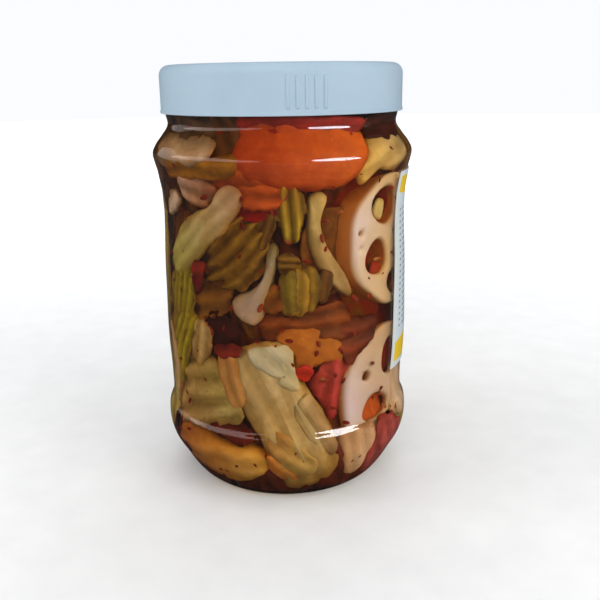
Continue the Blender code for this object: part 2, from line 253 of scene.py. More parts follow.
def blend(tree, factor, first, second, mode="MIX"):
    made = addNode(tree, "ShaderNodeMix", data_type="RGBA", blend_type=mode, clamp_factor=True)
    for index, value in ((0, factor), (6, first), (7, second)):
        socket = made.inputs[index]
        if isinstance(value, bpy.types.NodeSocket):
            tree.links.new(value, socket)
        elif isinstance(value, tuple):
            socket.default_value = (*value, 1.0)
        else:
            socket.default_value = value
    return made.outputs[2]


def figure(tree, operation, first, second=0.0, third=0.0):
    made = addNode(tree, "ShaderNodeMath", operation=operation)
    for index, value in enumerate((first, second, third)):
        if isinstance(value, bpy.types.NodeSocket):
            tree.links.new(value, made.inputs[index])
        else:
            made.inputs[index].default_value = value
    return made.outputs[0]


def times(tree, first, *others):  # all of them multiplied
    for other in others:
        first = figure(tree, "MULTIPLY", first, other)
    return first


def within(tree, value, low, high):  # 1 between two limits, else 0
    return times(tree, figure(tree, "GREATER_THAN", value, low), figure(tree, "LESS_THAN", value, high))


def addBump(tree, shader, height, strength, distance):
    made = addNode(
        tree, "ShaderNodeBump", {"Height": height, "Strength": strength, "Distance": distance},
    )
    tree.links.new(made.outputs[0], shader.inputs["Normal"])


# geometry node groups: a start with named inputs, an end and a run
def newNodes(name, sockets):
    tree = bpy.data.node_groups.new(name, "GeometryNodeTree")
    tree.interface.new_socket("Geometry", in_out="INPUT", socket_type="NodeSocketGeometry")
    inputs = {}
    for title, kind in sockets.items():
        inputs[title] = tree.interface.new_socket(title, in_out="INPUT", socket_type="NodeSocket" + kind)
    tree.interface.new_socket("Geometry", in_out="OUTPUT", socket_type="NodeSocketGeometry")
    return tree, inputs, tree.nodes.new("NodeGroupInput")


def endNodes(tree, geometry, material):
    end = tree.nodes.new("NodeGroupOutput")
    real = addNode(tree, "GeometryNodeRealizeInstances", {0: geometry})
    coat = addNode(tree, "GeometryNodeSetMaterial", {"Geometry": real.outputs[0], "Material": material})
    tree.links.new(coat.outputs[0], end.inputs[0])


def runNodes(obj, tree, inputs, values):
    made = obj.modifiers.new("Nodes", "NODES")
    made.node_group = tree
    for title, value in values.items():
        made[inputs[title].identifier] = value
    applyModifiers(obj)
    obj.data.shade_smooth()


def lightPassesShadow(tree, shader, tint):  # lamps shine through the clear layers
    clear = addNode(tree, "ShaderNodeBsdfTransparent", {"Color": (*tint, 1.0)})
    path = addNode(tree, "ShaderNodeLightPath")
    mixed = addNode(
        tree, "ShaderNodeMixShader",
        {0: path.outputs["Is Shadow Ray"], 1: shader.outputs[0], 2: clear.outputs[0]},
    )
    tree.links.new(mixed.outputs[0], tree.nodes["Material Output"].inputs["Surface"])


# camera and light
camera = {
    "distance": 282 * mm,
    "belowLidTop": 5.07 * mm,
    "down": 0.286,
    "aside": -0.02,
    "roll": -0.014,
    "lens": 45.2,
}


def makeCamera():
    data = bpy.data.cameras.new("camera")
    data.lens = camera["lens"]
    data.clip_start = 0.01
    obj = placeObject("camera", data)
    level = math.cos(camera["down"])
    forward = Vector((
        -math.sin(camera["aside"]) * level, math.cos(camera["aside"]) * level, -math.sin(camera["down"]),
    ))
    turn = forward.to_track_quat("-Z", "Y").to_matrix().to_4x4()
    place = Matrix.Translation((0.0, -camera["distance"], topHeight - camera["belowLidTop"]))
    obj.matrix_world = place @ turn @ Matrix.Rotation(camera["roll"], 4, "Z")
    scene.camera = obj


studio = {
    "lamps": 0.28, "sky": 0.5, "skyTint": (0.96, 0.975, 1.0),
    "mirrorDim": 0.96,  # what the wall mirrors is dimmed, as the room behind the camera is dark
    "floorRadius": 3.0, "floorDrop": 0.2 * mm,
}
lamps = [
    # name, degrees round from the front, degrees up, distance, width, height, watts, colour
    ("keyPanel", 50, 25, 0.80, 0.40, 0.40, 7.0, (1.0, 0.98, 0.96)),
    ("sidePanel", -80, 25, 0.80, 0.40, 0.40, 6.5, (1.0, 0.98, 0.96)),
    ("frontPanel", -8, 42, 0.90, 0.60, 0.40, 5.2, (1.0, 0.99, 0.97)),
    ("topPanel", 0, 88, 0.80, 0.60, 0.60, 6.0, (0.95, 0.98, 1.0)),
    ("backPanel", 170, 45, 0.90, 0.60, 0.40, 6.0, (1.0, 1.0, 1.0)),
    # these three only show as gloss on the wall
    ("rightGloss", 46, 17, 0.80, 0.62, 0.34, 34.0, (0.92, 0.96, 1.0)),
    ("leftGloss", -65, 20, 0.80, 1.60, 0.34, 12.0, (1.0, 0.80, 0.77)),
    ("farLeftGloss", -112, 12, 0.80, 0.78, 0.42, 2.4, (1.0, 0.92, 0.86)),
]


def makeLamps():
    middle = Vector((0.0, 0.0, topHeight / 2))
    glossy = bpy.data.collections.new("glossReceivers")  # what the gloss lamps light
    for name, around, up, distance, width, height, watts, colour in lamps:
        data = bpy.data.lights.new(name, "AREA")
        data.shape = "ELLIPSE" if name.endswith("Gloss") else "RECTANGLE"
        data.size = width
        data.size_y = height
        data.energy = watts * studio["lamps"]
        data.color = colour
        obj = placeObject(name, data)
        rise = math.radians(up)
        reach = roundPoint(math.radians(around), 0.0, distance * math.cos(rise))
        obj.location = middle + reach + Vector((0.0, 0.0, distance * math.sin(rise)))
        obj.rotation_euler = (middle - obj.location).to_track_quat("-Z", "Y").to_euler()
        obj.visible_transmission = False  # its light already comes through the clear shadow
        obj.visible_glossy = name.endswith("Gloss")
        obj.visible_diffuse = not obj.visible_glossy
        if obj.visible_glossy:
            obj.light_linking.receiver_collection = glossy
    world = bpy.data.worlds.new("studio")
    scene.world = world
    world.use_nodes = True
    tree = world.node_tree
    path = addNode(tree, "ShaderNodeLightPath")
    sky = tree.nodes["Background"]
    sky.inputs["Color"].default_value = (*studio["skyTint"], 1.0)
    dim = studio["sky"]
    lit = figure(tree, "MULTIPLY_ADD", path.outputs["Is Camera Ray"], 1.0 - dim, dim)
    strength = times(tree, lit, figure(tree, "SUBTRACT", 1.0, mirrored(tree)))
    tree.links.new(strength, sky.inputs["Strength"])
    world.cycles.sampling_method = "NONE"
    scene.view_settings.view_transform = "Standard"
    return glossy


def mirrored(tree):  # how much to dim, 0 where it is seen straight
    path = addNode(tree, "ShaderNodeLightPath")
    bounced = figure(tree, "GREATER_THAN", path.outputs["Glossy Depth"], 0.5)
    direct = figure(tree, "LESS_THAN", path.outputs["Diffuse Depth"], 0.5)
    return times(tree, bounced, direct, studio["mirrorDim"])


def makeFloor():
    bm = bmesh.new()
    bmesh.ops.create_circle(bm, cap_ends=True, segments=96, radius=studio["floorRadius"])
    floor = meshObject("floor", bm)
    floor.location.z = -studio["floorDrop"]
    material, tree, shader = newMaterial("paleFloor", 0.9, 0.1)
    grain = speckle(tree, objectCoords(tree), 60.0)
    pale = ramp(tree, grain, [(0.3, (0.80, 0.80, 0.80)), (0.7, (0.84, 0.84, 0.84))])
    # the floor is painted near black where the wall mirrors it: a painted dark reflection
    tree.links.new(blend(tree, mirrored(tree), pale, (0.01, 0.01, 0.01)), shader.inputs["Base Color"])
    # the far floor glows a little, so that it runs into the pale room behind it
    away = addNode(tree, "ShaderNodeVectorMath", {0: objectCoords(tree)}, operation="LENGTH")
    far = ramp(tree, away.outputs["Value"], [(0.1, (0.0, 0.0, 0.0)), (1.0, (0.75, 0.75, 0.75))])
    glow = times(tree, far, figure(tree, "SUBTRACT", 1.0, mirrored(tree)))
    tree.links.new(glow, shader.inputs["Emission Strength"])
    shader.inputs["Emission Color"].default_value = (0.97, 0.98, 1.0, 1.0)
    floor.data.materials.append(material)


makeCamera()
glossReceivers = makeLamps()
makeFloor()
print("camera, lamps and floor are in place")


# jar and brine
def makeJar():
    obj = turnedObject("jarGlass", outerPath, jar["steps"])
    giveWall(obj, jar["wall"])
    material, tree, shader = newMaterial("clearPlastic", 0.02)
    shader.inputs["Base Color"].default_value = (0.97, 0.98, 0.97, 1.0)
    shader.inputs["Transmission Weight"].default_value = 1.0
    shader.inputs["IOR"].default_value = 1.5
    ripple = speckle(tree, objectCoords(tree), 28.0, detail=1.0, stretch=(1, 1, 0.5))
    addBump(tree, shader, ripple, 0.12, 0.3 * mm)
    lightPassesShadow(tree, shader, (0.95, 0.95, 0.95))
    finishPiece(obj, ["jar"], material)
    glossReceivers.objects.link(obj)


def makeBrine():
    level = brine["level"]
    path = [p for p in insetPath(outerPath, jar["wall"] - brine["overlap"]) if p.y < level]
    path = [Vector((0.0, level)), Vector((path[0].x, level))] + path
    obj = turnedObject("brine", path, jar["steps"])
    applyModifiers(obj)
    obj.data.shade_smooth()
    obj.data.set_sharp_from_angle(angle=math.radians(60))
    material, tree, shader = newMaterial("redBrine", 0.0)
    shader.inputs["Base Color"].default_value = (1.0, 1.0, 1.0, 1.0)
    shader.inputs["Transmission Weight"].default_value = 1.0
    shader.inputs["IOR"].default_value = 1.34
    lightPassesShadow(tree, shader, (0.86, 0.80, 0.72))
    brineShade = addNode(tree, "ShaderNodeVolumeAbsorption")
    brineShade.inputs["Color"].default_value = (*brine["colour"], 1.0)
    brineShade.inputs["Density"].default_value = brine["density"]
    tree.links.new(brineShade.outputs[0], tree.nodes["Material Output"].inputs["Volume"])
    finishPiece(obj, ["kimchi_heap"], material)


makeJar()
makeBrine()
print("jar and brine are made")


# vegetables: each is a closed pillow over a drawn outline of (angle, height in mm)
unroll = 45 * mm  # radius at which angles and sizes are matched
pillow = {
    "fine": (72, 9), "coarse": (36, 6),  # points round the edge and rings
    "spine": 0.55,  # share of the length that the middle line takes
    "jolts": ((330, 1.0, 3), (800, 0.6, 4)),  # ragged edge: how close, how strong, which pattern
    "lowest": 3.4 * mm, "highest": 149 * mm, "nearest": 0.3 * mm,
    "rimShadeLoss": (0.45, 0.65, 0.8),  # how the painted rim shade takes away red, green and blue
    "merge": 0.004 * mm,
}


class Crate:  # gathers pieces of one kind into one mesh
    def __init__(self):
        self.bm = bmesh.new()
        self.tint = self.bm.verts.layers.float_color.new("tint")
        self.lay = self.bm.verts.layers.float_vector.new("lay")

    def finish(self, name, material):
        bmesh.ops.recalc_face_normals(self.bm, faces=self.bm.faces)
        obj = meshObject(name, self.bm)
        obj.data.shade_smooth()
        finishPiece(obj, ["kimchi_heap"], material)
        print(name, "has", len(obj.data.polygons), "faces")
        return obj


def mainDirection(points, middle):  # the long way of an outline, as a unit vector
    xx = sum((p.x - middle.x) ** 2 for p in points)
    yy = sum((p.y - middle.y) ** 2 for p in points)
    xy = sum((p.x - middle.x) * (p.y - middle.y) for p in points)
    turn = 0.5 * math.atan2(2 * xy, xx - yy)
    return Vector((math.cos(turn), math.sin(turn)))


def grownLoop(edge, distance):  # the loop moved outwards
    count = len(edge)
    area = sum(edge[i - 1].cross(edge[i]) for i in range(count))
    side = distance if area > 0 else -distance
    moved = []
    for index, point in enumerate(edge):
        ahead = (edge[(index + 2) % count] - edge[index - 2]).normalized()
        moved.append(point + side * Vector((ahead.y, -ahead.x)))
    return moved


def addPillow(crate, outline, depth, thick, tint, folds=(0.0, 6.0), lumps=0.0, rim=3.0, seed=0.0,
              frill=0.0, shade=0.0, ragged=0.3, grow=0.0, tilt=0.0, brineShade=0.0, grade="fine"):
    # tint is one colour, or two from the low end of the piece to the high one
    first, second = [paint(*one) for one in (tint if isinstance(tint, list) else (tint, tint))]
    count, rings = pillow[grade]
    keys = [(unroll * math.radians(angle), height * mm) for angle, height in outline]
    edge = evenLoop(smoothPath(keys, 8, closed=True), count)
    middle = sum(edge, Vector((0.0, 0.0))) / count
    for point in edge:
        jolt = 0.0
        for close, strong, pattern in pillow["jolts"]:
            jolt += strong * noise.noise(Vector((point.x * close, point.y * close, seed + pattern)))
        point += (point - middle).normalized() * ragged * mm * jolt
    edge = grownLoop(edge, grow * mm)
    along = mainDirection(edge, middle)
    if along.y < 0:
        along = -along
    across = Vector((-along.y, along.x))
    reach = max(abs((p - middle).dot(along)) for p in edge)
    bm = crate.bm
    fronts = []
    backs = []
    for ring in range(rings):
        share = 1 - ((rings - 1 - ring) / (rings - 1)) ** 1.5
        swell = (1 - share**rim) ** 0.5
        frontRow = []
        backRow = []
        for point in edge:
            limit = pillow["spine"] * reach
            spine = max(-limit, min(limit, (point - middle).dot(along)))
            heart = middle + along * spine
            spot = heart + (point - heart) * share
            u = (spot - middle).dot(along)
            v = (spot - middle).dot(across)
            ripple = noise.noise(Vector((u * 60, v * 60, seed)))
            wave = 0.5 + 0.5 * math.sin(v / (folds[1] * mm) * 2 * math.pi + 3.0 * ripple + seed)
            bulk = lumps * (0.5 + noise.noise(Vector((spot.x * 160, spot.y * 160, seed + 5))))
            sway = frill * share**2 * noise.noise(Vector((spot.x * 220, spot.y * 220, seed + 9)))
            lean = tilt * (u * math.cos(1.7 * seed) + v * math.sin(1.7 * seed)) / reach
            lift = (folds[0] * wave + bulk + sway + lean) * mm
            height = min(max(spot.y, pillow["lowest"]), pillow["highest"])
            blendTint = 0.5 + 0.5 * u / reach
            dim = 1 - shade * wave
            # the rim is painted darker and browner: painted shade, as if deeper in the brine
            rimShaded = [1 - brineShade * share**5 * part for part in pillow["rimShadeLoss"]]
            colour = [dim * d * (a + (b - a) * blendTint) for a, b, d in zip(first, second, rimShaded)]
            for row, behind in (
                (frontRow, depth * mm + lift + thick * mm * (1 - swell) / 2),
                (backRow, depth * mm + lift * 0.9 + thick * mm * (1 + swell) / 2),
            ):
                radius = innerRadius(height) - max(behind, pillow["nearest"])
                vert = bm.verts.new(roundPoint(spot.x / unroll, height, radius))
                vert[crate.tint] = (*colour, 1.0)
                vert[crate.lay] = (u * 100, v * 100, share)
                row.append(vert)
        fronts.append(frontRow)
        backs.append(backRow)
    for grid, flip in ((fronts, False), (backs, True)):
        for inner, outer in zip(grid, grid[1:]):
            for index in range(count):
                ahead = (index + 1) % count
                corners = [inner[index], outer[index], outer[ahead], inner[ahead]]
                bm.faces.new(corners[::-1] if flip else corners)
    made = [vert for row in fronts + backs for vert in row]
    bmesh.ops.remove_doubles(bm, verts=made, dist=pillow["merge"])


def vegetableMaterial(name, fibre, glow, mottle, dark):
    # fibre: lines a centimetre along the piece; mottle: how far the colour wanders
    material, tree, shader = newMaterial(name, 0.55, 0.25)
    tint = addNode(tree, "ShaderNodeAttribute", attribute_name="tint").outputs["Color"]
    lay = addNode(tree, "ShaderNodeAttribute", attribute_name="lay").outputs["Vector"]
    coords = objectCoords(tree)
    broad = speckle(tree, coords, 90.0, detail=5.0, rough=0.65)
    patches = speckle(tree, coords, 210.0, detail=4.0, rough=0.6)
    fine = speckle(tree, coords, 700.0, detail=3.0, rough=0.6)
    lines = speckle(tree, lay, fibre, detail=3.0, rough=0.6, stretch=(0.12, 1.0, 0.0))
    black, white = (0.0, 0.0, 0.0), (1.0, 1.0, 1.0)
    dull = ramp(tree, broad, [(0.38, black), (0.62, white)])
    lit = ramp(tree, patches, [(0.46, black), (0.68, white)])
    lined = ramp(tree, lines, [(0.35, black), (0.68, white)])
    shade = blend(tree, times(tree, dull, mottle), tint, dark, "MULTIPLY")
    shade = blend(tree, times(tree, lit, 1.2 * mottle), shade, tint, "SCREEN")
    shade = blend(tree, times(tree, lined, 0.5 * mottle), shade, tint, "SCREEN")
    shade = blend(tree, times(tree, fine, 0.35 * mottle), shade, dark, "MULTIPLY")
    tree.links.new(shade, shader.inputs["Base Color"])
    shader.inputs["Subsurface Weight"].default_value = glow
    shader.inputs["Subsurface Radius"].default_value = (1.0, 0.55, 0.3)
    shader.inputs["Subsurface Scale"].default_value = 2.5 * mm
    addBump(tree, shader, figure(tree, "ADD", lines, times(tree, fine, 0.4)), 0.35, 0.5 * mm)
    return material


# what the front shows: kind, depth, thickness, tint from the low end up, folds, lumps, outline
frontPieces = [
    ("stem", 0.6, 6, [(194, 193, 101), (200, 158, 144)], (0.7, 5), 0.6, [  # diagonal stem
        (-31.5, 113), (-28, 115.5), (-23, 116), (-19.5, 114), (-18.5, 111), (-20.5, 108),
        (-24.5, 104.5), (-29, 100), (-35, 97), (-40, 93.5), (-45, 89.5), (-49, 86.5), (-55.5, 83),
        (-63, 82.5), (-66.5, 84.5), (-66.5, 89), (-64, 93.5), (-59, 98.5), (-52, 103), (-44, 106),
        (-37.5, 107.5), (-33.5, 110)]),
    ("stem", 0.5, 8, [(162, 122, 62), (208, 182, 143)], (1.2, 7), 0.6, [  # big stem
        (-25, 58), (-17.5, 61), (-9.5, 62.5), (-1.5, 63), (-0.5, 63), (2.5, 60.5), (3.5, 56),
        (5.5, 50.5), (9.5, 45.5), (13.5, 40.5), (18, 35.5), (21, 30.5), (23, 25.5), (24.5, 20),
        (25, 14), (21.5, 9.5), (13.5, 6.5), (5, 5.5), (-4, 6.5), (-3, 13), (-7.5, 17), (-10.5, 22),
        (-13.5, 27), (-18, 31.5), (-23, 37), (-27, 42.5), (-29.5, 47.5), (-26.5, 52.5)]),
    ("sheet", 0.4, 1.6, [(184, 163, 124), (199, 190, 177)], (0.6, 7), 0.5, [  # upper sheet
        (-17.5, 60), (-9.5, 62), (-1.5, 62.5), (-0.5, 62.5), (2.5, 60.5), (3, 56), (5, 50),
        (5.5, 46.5), (3, 45.5), (-0.5, 46.5), (-5.5, 48), (-3, 50), (-8, 51.5), (-13, 53), (-16, 56)]),
    ("sheet", 0.4, 1.6, [(143, 108, 75), (178, 145, 100)], (0.6, 7), 0.5, [  # lower sheet
        (6.5, 43), (9.5, 44.5), (13.5, 40), (17.5, 34.5), (21, 28.5), (22.5, 23), (20.5, 20.5),
        (15.5, 23), (10.5, 26), (6, 31.5), (3, 36.5), (3, 40.5)]),
    ("sheet", 0.4, 1.6, [(188, 153, 88), (166, 116, 62)], (0.6, 7), 0.5, [  # fold sheet
        (-6, 30.5), (-1, 29.5), (4.5, 26.5), (9, 22.5), (13, 19), (13, 14.5), (7, 12.5), (0, 16),
        (-5.5, 20), (-9, 24), (-9, 28.5)]),
    ("sheet", 0.4, 3, [(196, 142, 84), (186, 128, 72)], (0.6, 5), 0.5, [  # left lobe
        (-33, 57), (-26, 58), (-22, 57), (-21, 50), (-19, 45), (-20, 40), (-24, 37), (-28.5, 40),
        (-32, 46), (-34, 52)]),
    ("stem", 0.6, 5, (200, 125, 57), (0.8, 5), 0.8, [  # stem fold
        (-10, 21), (-4, 22.5), (2, 20.5), (5.5, 14), (2, 9), (-4, 12), (-8.5, 16)]),
    ("stem", 0.8, 9, [(196, 108, 64), (238, 184, 98)], (0.8, 8), 1.4, [  # orange lump
        (-63, 24), (-48.5, 26), (-36.5, 24.5), (-25.5, 23.5), (-17, 23.5), (-10.5, 21), (-9, 16.5),
        (-16, 11), (-28, 7.5), (-40.5, 7), (-55, 8), (-67, 9.5), (-68, 14.5)]),
    ("stem", 0.8, 6, [(229, 187, 163), (170, 127, 101)], (0.5, 6), 0.6, [  # low piece
        (24.5, 27.5), (30, 28), (37.5, 27.5), (44.5, 27), (45, 23), (41.5, 17), (42, 10), (36.5, 8),
        (28.5, 13.5), (24.5, 21.5)]),
    ("stem", 0.8, 5, [(216, 172, 97), (164, 141, 110)], (0.5, 6), 0.5, [  # tan right
        (45, 130), (61.5, 130), (70, 127), (67.5, 123), (60.5, 119.5), (45.5, 120), (36, 115.5),
        (33.5, 119), (38.5, 123.5), (41, 127)]),
    ("stem", 0.8, 5, (211, 184, 182), (0.5, 6), 0.5, [  # tan right low
        (62, 46), (83, 41), (86, 32.5), (86.5, 24.5), (69, 24), (61, 27), (62.5, 35)]),
    ("stem", 2.5, 6, [(158, 128, 106), (186, 166, 126)], (0.3, 6), 0.3, [  # cream slice
        (12.5, 112.5), (16, 113), (19.5, 112), (18, 107.5), (16.5, 104), (17, 99.5), (19, 95.5),
        (22.5, 91.5), (26.5, 87.5), (30.5, 82.5), (32.5, 77), (28, 78.5), (23, 81.5), (18, 85.5),
        (14, 90.5), (11.5, 96), (11, 102), (11.5, 108)]),
    ("leaf", 1.2, 3, [(154, 82, 61), (230, 184, 175)], (0.8, 7), 0.8, [  # taupe leaf
        (-53, 116), (-44, 118), (-35, 117.5), (-31.5, 115), (-33, 112.5), (-36, 110), (-41, 108.5),
        (-46.5, 109), (-51, 111.5)]),
    ("leaf", 1, 3, (246, 214, 212), (0.4, 6), 0.4, [  # white bit
        (-66, 110), (-58, 111.5), (-55.5, 109.5), (-59.5, 106.5), (-67, 105), (-68, 107)]),
    ("leaf", 1.8, 3, (185, 79, 28), (0.6, 7), 0.6, [  # orange haze
        (-19.5, 115.5), (-11, 116.5), (-3.5, 116.5), (0, 115.5), (0, 111.5), (-4.5, 109.5),
        (-11.5, 109), (-17.5, 109.5), (-19.5, 111.5)]),
    ("leaf", 2, 2, [(134, 100, 30), (148, 109, 40)], (2.4, 4.6), 0.8, [  # folds leaf
        (-26, 103), (-17.5, 104.5), (-10, 103.5), (-8, 99.5), (-9, 93.5), (-10.5, 88), (-15.5, 84.5),
        (-22.5, 81.5), (-29.5, 82.5), (-36, 83), (-39.5, 87.5), (-38, 93.5), (-32.5, 98.5)]),
    ("leaf", 2.2, 2, [(169, 117, 29), (115, 73, 36)], (1.2, 7), 0.8, [  # brown patch
        (-47.5, 80.5), (-36.5, 82), (-27, 80.5), (-28, 75), (-37, 70.5), (-47.5, 69.5), (-51, 74)]),
    ("leaf", 0.8, 1.6, [(150, 111, 12), (191, 178, 31)], (2, 3.4), 0.6, [  # left strips
        (-67.5, 80.5), (-59, 82.5), (-49.5, 85), (-47.5, 80.5), (-47.5, 74.5), (-49, 68), (-52.5, 61),
        (-65.5, 58), (-68, 64), (-68.5, 72)]),
    ("leaf", 1.5, 1.6, (107, 74, 17), (0.8, 3), 0.3, [  # olive strip
        (-8, 105), (-5.5, 105.5), (-4.5, 103.5), (-6, 101), (-8.5, 98.5), (-10, 96), (-10.5, 99),
        (-9.5, 102.5)]),
    ("leaf", 1.2, 2, [(163, 142, 50), (156, 112, 22)], (1.6, 4), 0.4, [  # olive leaf
        (-0.5, 114), (4, 114.5), (7, 112), (7.5, 106.5), (6.5, 102), (4, 98), (1.5, 99), (-1, 102.5),
        (-2, 105.5), (-1.5, 110.5)]),
    ("leaf", 1, 3.4, (126, 101, 22), (0, 4), 0.2, [  # stalk1
        (-0.5, 86), (1.5, 87), (4, 86.5), (4, 80), (3.5, 74), (1.5, 73.5), (-0.5, 75), (-1, 80)]),
    ("leaf", 0.8, 3.6, (164, 122, 27), (0, 4), 0.2, [  # stalk2
        (4, 87), (6, 87.5), (8, 87), (8.5, 81.5), (8, 74.5), (6, 73.5), (4, 74.5), (4, 81)]),
    ("leaf", 1, 3.4, (134, 100, 14), (0, 4), 0.2, [  # stalk3
        (8.5, 87.5), (10.5, 88), (13, 86.5), (14, 82.5), (13, 77), (10.5, 74.5), (8.5, 75.5),
        (8.5, 82)]),
    ("leaf", 1.5, 3, (104, 65, 12), (0, 4), 0.2, [  # stalk4
        (15, 84.5), (17.5, 86), (20, 85.5), (20.5, 83), (18.5, 80), (16.5, 78), (15, 79), (14.5, 82)]),
    ("leaf", 1.8, 2, (125, 89, 20), (0.8, 3), 0.4, [  # stalk top
        (-1.5, 91.5), (2, 93), (5.5, 91.5), (5.5, 88.5), (2, 88), (-1, 88)]),
    ("leaf", 2.2, 2, (123, 60, 21), (1, 6), 0.8, [  # brown band
        (-9.5, 72), (-1, 72.5), (12.5, 73.5), (26.5, 74), (29.5, 69.5), (28.5, 65), (17, 65), (-1, 65),
        (-10, 65.5)]),
    ("leaf", 2.5, 3, (137, 79, 24), (0.4, 6), 0.5, [  # small left
        (-9, 81), (-5.5, 82.5), (-2.5, 80), (-3.5, 75.5), (-8.5, 74), (-12, 77)]),
    ("leaf", 0.8, 2, (106, 76, 58), (0.5, 8), 0.4, [  # grey neck
        (-61, 135.5), (-45, 136.5), (-35, 135.5), (-34, 130), (-42, 129.5), (-55.5, 130)]),
    ("leaf", 1.4, 2, (104, 62, 34), (0.6, 6), 0.5, [  # dark bead
        (-38, 136), (-30, 136.5), (-22, 136), (-20, 129), (-20, 122.5), (-33, 122), (-37, 128)]),
    ("leaf", 1, 2, (64, 21, 12), (0.5, 8), 0.4, [  # dark neck r
        (45, 135), (77.5, 134.5), (70.5, 130), (51, 129.5), (43, 130.5)]),
    ("leaf", 0.6, 3, (202, 160, 127), (0.5, 8), 0.4, [  # taupe bead
        (-73, 126.5), (-61.5, 129.5), (-44, 129), (-34, 128.5), (-31, 126), (-36, 123.5),
        (-54, 122), (-69, 123.5)]),
    ("leaf", 0.5, 2, (169, 107, 12), (0.4, 5), 0.4, [  # olive bead
        (-63, 121), (-46, 122.5), (-30, 123), (-20, 123.5), (-21.5, 120.5), (-31, 119), (-45.5, 118.5),
        (-59, 119)]),
    ("leaf", 1.5, 2, (191, 80, 30), (0.6, 6), 0.5, [  # brown bead
        (-31, 121.5), (-19.5, 123), (-6.5, 119.5), (-6.5, 115), (-19, 115.5), (-30.5, 117.5)]),
    ("leaf", 0.6, 1.6, (191, 171, 12), (1.6, 4), 0.6, [  # left leaf c
        (-65, 64.5), (-45.5, 68), (-49.5, 62), (-51.5, 56.5), (-55.5, 51), (-60, 45), (-66, 37.5),
        (-72, 31.5), (-77.5, 36.5), (-71, 49.5), (-68, 58)]),
    ("leaf", 1, 3, (223, 184, 126), (0.6, 5), 0.5, [  # pale lobe
        (-47.5, 66), (-41.5, 67.5), (-38, 65.5), (-38.5, 60), (-41, 55), (-45.5, 52.5), (-50, 54),
        (-49.5, 60.5)]),
    ("leaf", 1.2, 2.4, [(204, 159, 115), (201, 183, 115)], (1.2, 8), 0.8, [  # big pale leaf
        (-55, 54), (-45, 54), (-36, 54), (-32, 48.5), (-29, 44), (-25, 40), (-22, 35),
        (-33.5, 32), (-47, 28), (-59.5, 26.5), (-69, 28), (-69, 39.5), (-60, 47)]),
    ("leaf", 2, 2, [(140, 58, 33), (79, 28, 19)], (0.8, 6), 0.5, [  # brown upper
        (22.5, 68), (34, 67.5), (48, 66), (43, 61.5), (36, 57), (31, 53.5), (28, 57.5)]),
    ("leaf", 0.5, 2, (225, 202, 116), (0.8, 9), 0.6, [  # left edge low
        (-96, 28), (-86, 22), (-73, 22), (-67, 34), (-71, 47), (-77, 58), (-86, 60), (-95, 52), (-99, 40)]),
    ("leaf", 0.5, 2, (214, 186, 74), (0.8, 9), 0.6, [  # left edge high
        (-95, 66), (-85, 61), (-75, 66), (-71, 84), (-73, 100), (-78, 112), (-87, 116), (-95, 104),
        (-98, 84)]),
    ("chilli", 2.2, 2, (133, 16, 12), (0.8, 6), 0.5, [  # red band
        (-20.5, 107.5), (-14, 109.5), (-7.5, 109.5), (-3.5, 108.5), (-5.5, 105.5), (-11.5, 104.5),
        (-17.5, 104.5), (-21.5, 105.5)]),
    ("chilli", 0.8, 1.5, (148, 41, 12), (0.2, 5), 0.3, [  # red bit a
        (-46.5, 88.5), (-42, 89), (-39.5, 87.5), (-40.5, 85.5), (-44, 84.5), (-47.5, 85.5)]),
    ("chilli", 0.8, 1.5, (113, 16, 12), (0.2, 5), 0.3, [  # red bit b
        (-48, 83), (-43.5, 84), (-40.5, 83.5), (-41, 81), (-44.5, 78.5), (-47, 80.5)]),
    ("chilli", 2.4, 2, [(69, 17, 13), (52, 15, 12)], (0.6, 7), 0.5, [  # dark gap: a dark sheet as painted shade between pieces
        (-40, 70), (-30.5, 71.5), (-28, 70), (-23.5, 67), (-22, 62), (-39.5, 60), (-44, 64.5)]),
    ("chilli", 0.5, 2, (150, 38, 27), (0.5, 8), 0.4, [  # maroon neck
        (-24, 136.5), (-6.5, 137), (12, 137), (30, 136.5), (43, 134.5), (39, 132), (22, 132.5),
        (4.5, 132), (-6.5, 131.5), (-23, 131)]),
    ("chilli", 1, 1.6, (128, 36, 20), (0.2, 5), 0.3, [  # red strip
        (-34.5, 59), (-30, 60.8), (-24, 61.2), (-20.5, 60.3), (-21.5, 58.3), (-27, 57.2), (-32.5, 57)]),
    ("chilli", 2, 2, [(113, 33, 12), (89, 22, 12)], (0.8, 6), 0.6, [  # dark red
        (-39, 31.5), (-29, 35), (-23, 32), (-17, 26.5), (-21, 24.5), (-30.5, 25.5), (-40, 27.5)]),
    ("chilli", 1.2, 1.4, (188, 41, 12), (0.2, 5), 0.3, [  # red bit d
        (4, 53.5), (10, 54), (11, 51), (7.5, 49.5), (4.5, 51)]),
    ("chilli", 1.8, 2.4, [(160, 49, 59), (177, 68, 73)], (1.2, 8), 0.8, [  # maroon mass
        (10.5, 48), (15, 52), (19, 55.5), (25.5, 56), (29.5, 54), (32.5, 49), (29.5, 45), (27, 41),
        (25.5, 36.5), (22.5, 33), (16.5, 40), (12.5, 44.5)]),
    ("chilli", 0.5, 2.4, [(196, 96, 112), (163, 62, 58)], (1, 7), 0.8, [  # maroon right
        (49, 28.5), (58, 26.5), (67.5, 22.5), (71.5, 17), (68.5, 12.5), (67, 7.5), (59, 3.5),
        (45, 9.5), (41.5, 17), (45, 22.5)]),
    ("carrot", 0.8, 6, [(188, 86, 23), (152, 49, 15)], (0, 5), 0.5, [  # carrot
        (-21.5, 136), (4.5, 136.5), (28.5, 135), (39.5, 131), (39.5, 125.5), (36.5, 120.5), (30, 116),
        (15.5, 114.5), (3.5, 114.5), (-6.5, 116), (-17, 118), (-21.5, 122), (-22, 128), (-24.5, 132)]),
    ("carrot", 2.2, 5, (162, 95, 32), (0, 5), 0.5, [  # carrot2
        (-5, 65), (0, 67.5), (9.5, 68), (19.5, 66.5), (25.5, 62.5), (28.5, 58.5), (26.5, 54.5),
        (19.5, 55), (12.5, 53.5), (8.5, 50.5), (5, 52), (3, 58.5), (-2, 62.5)]),
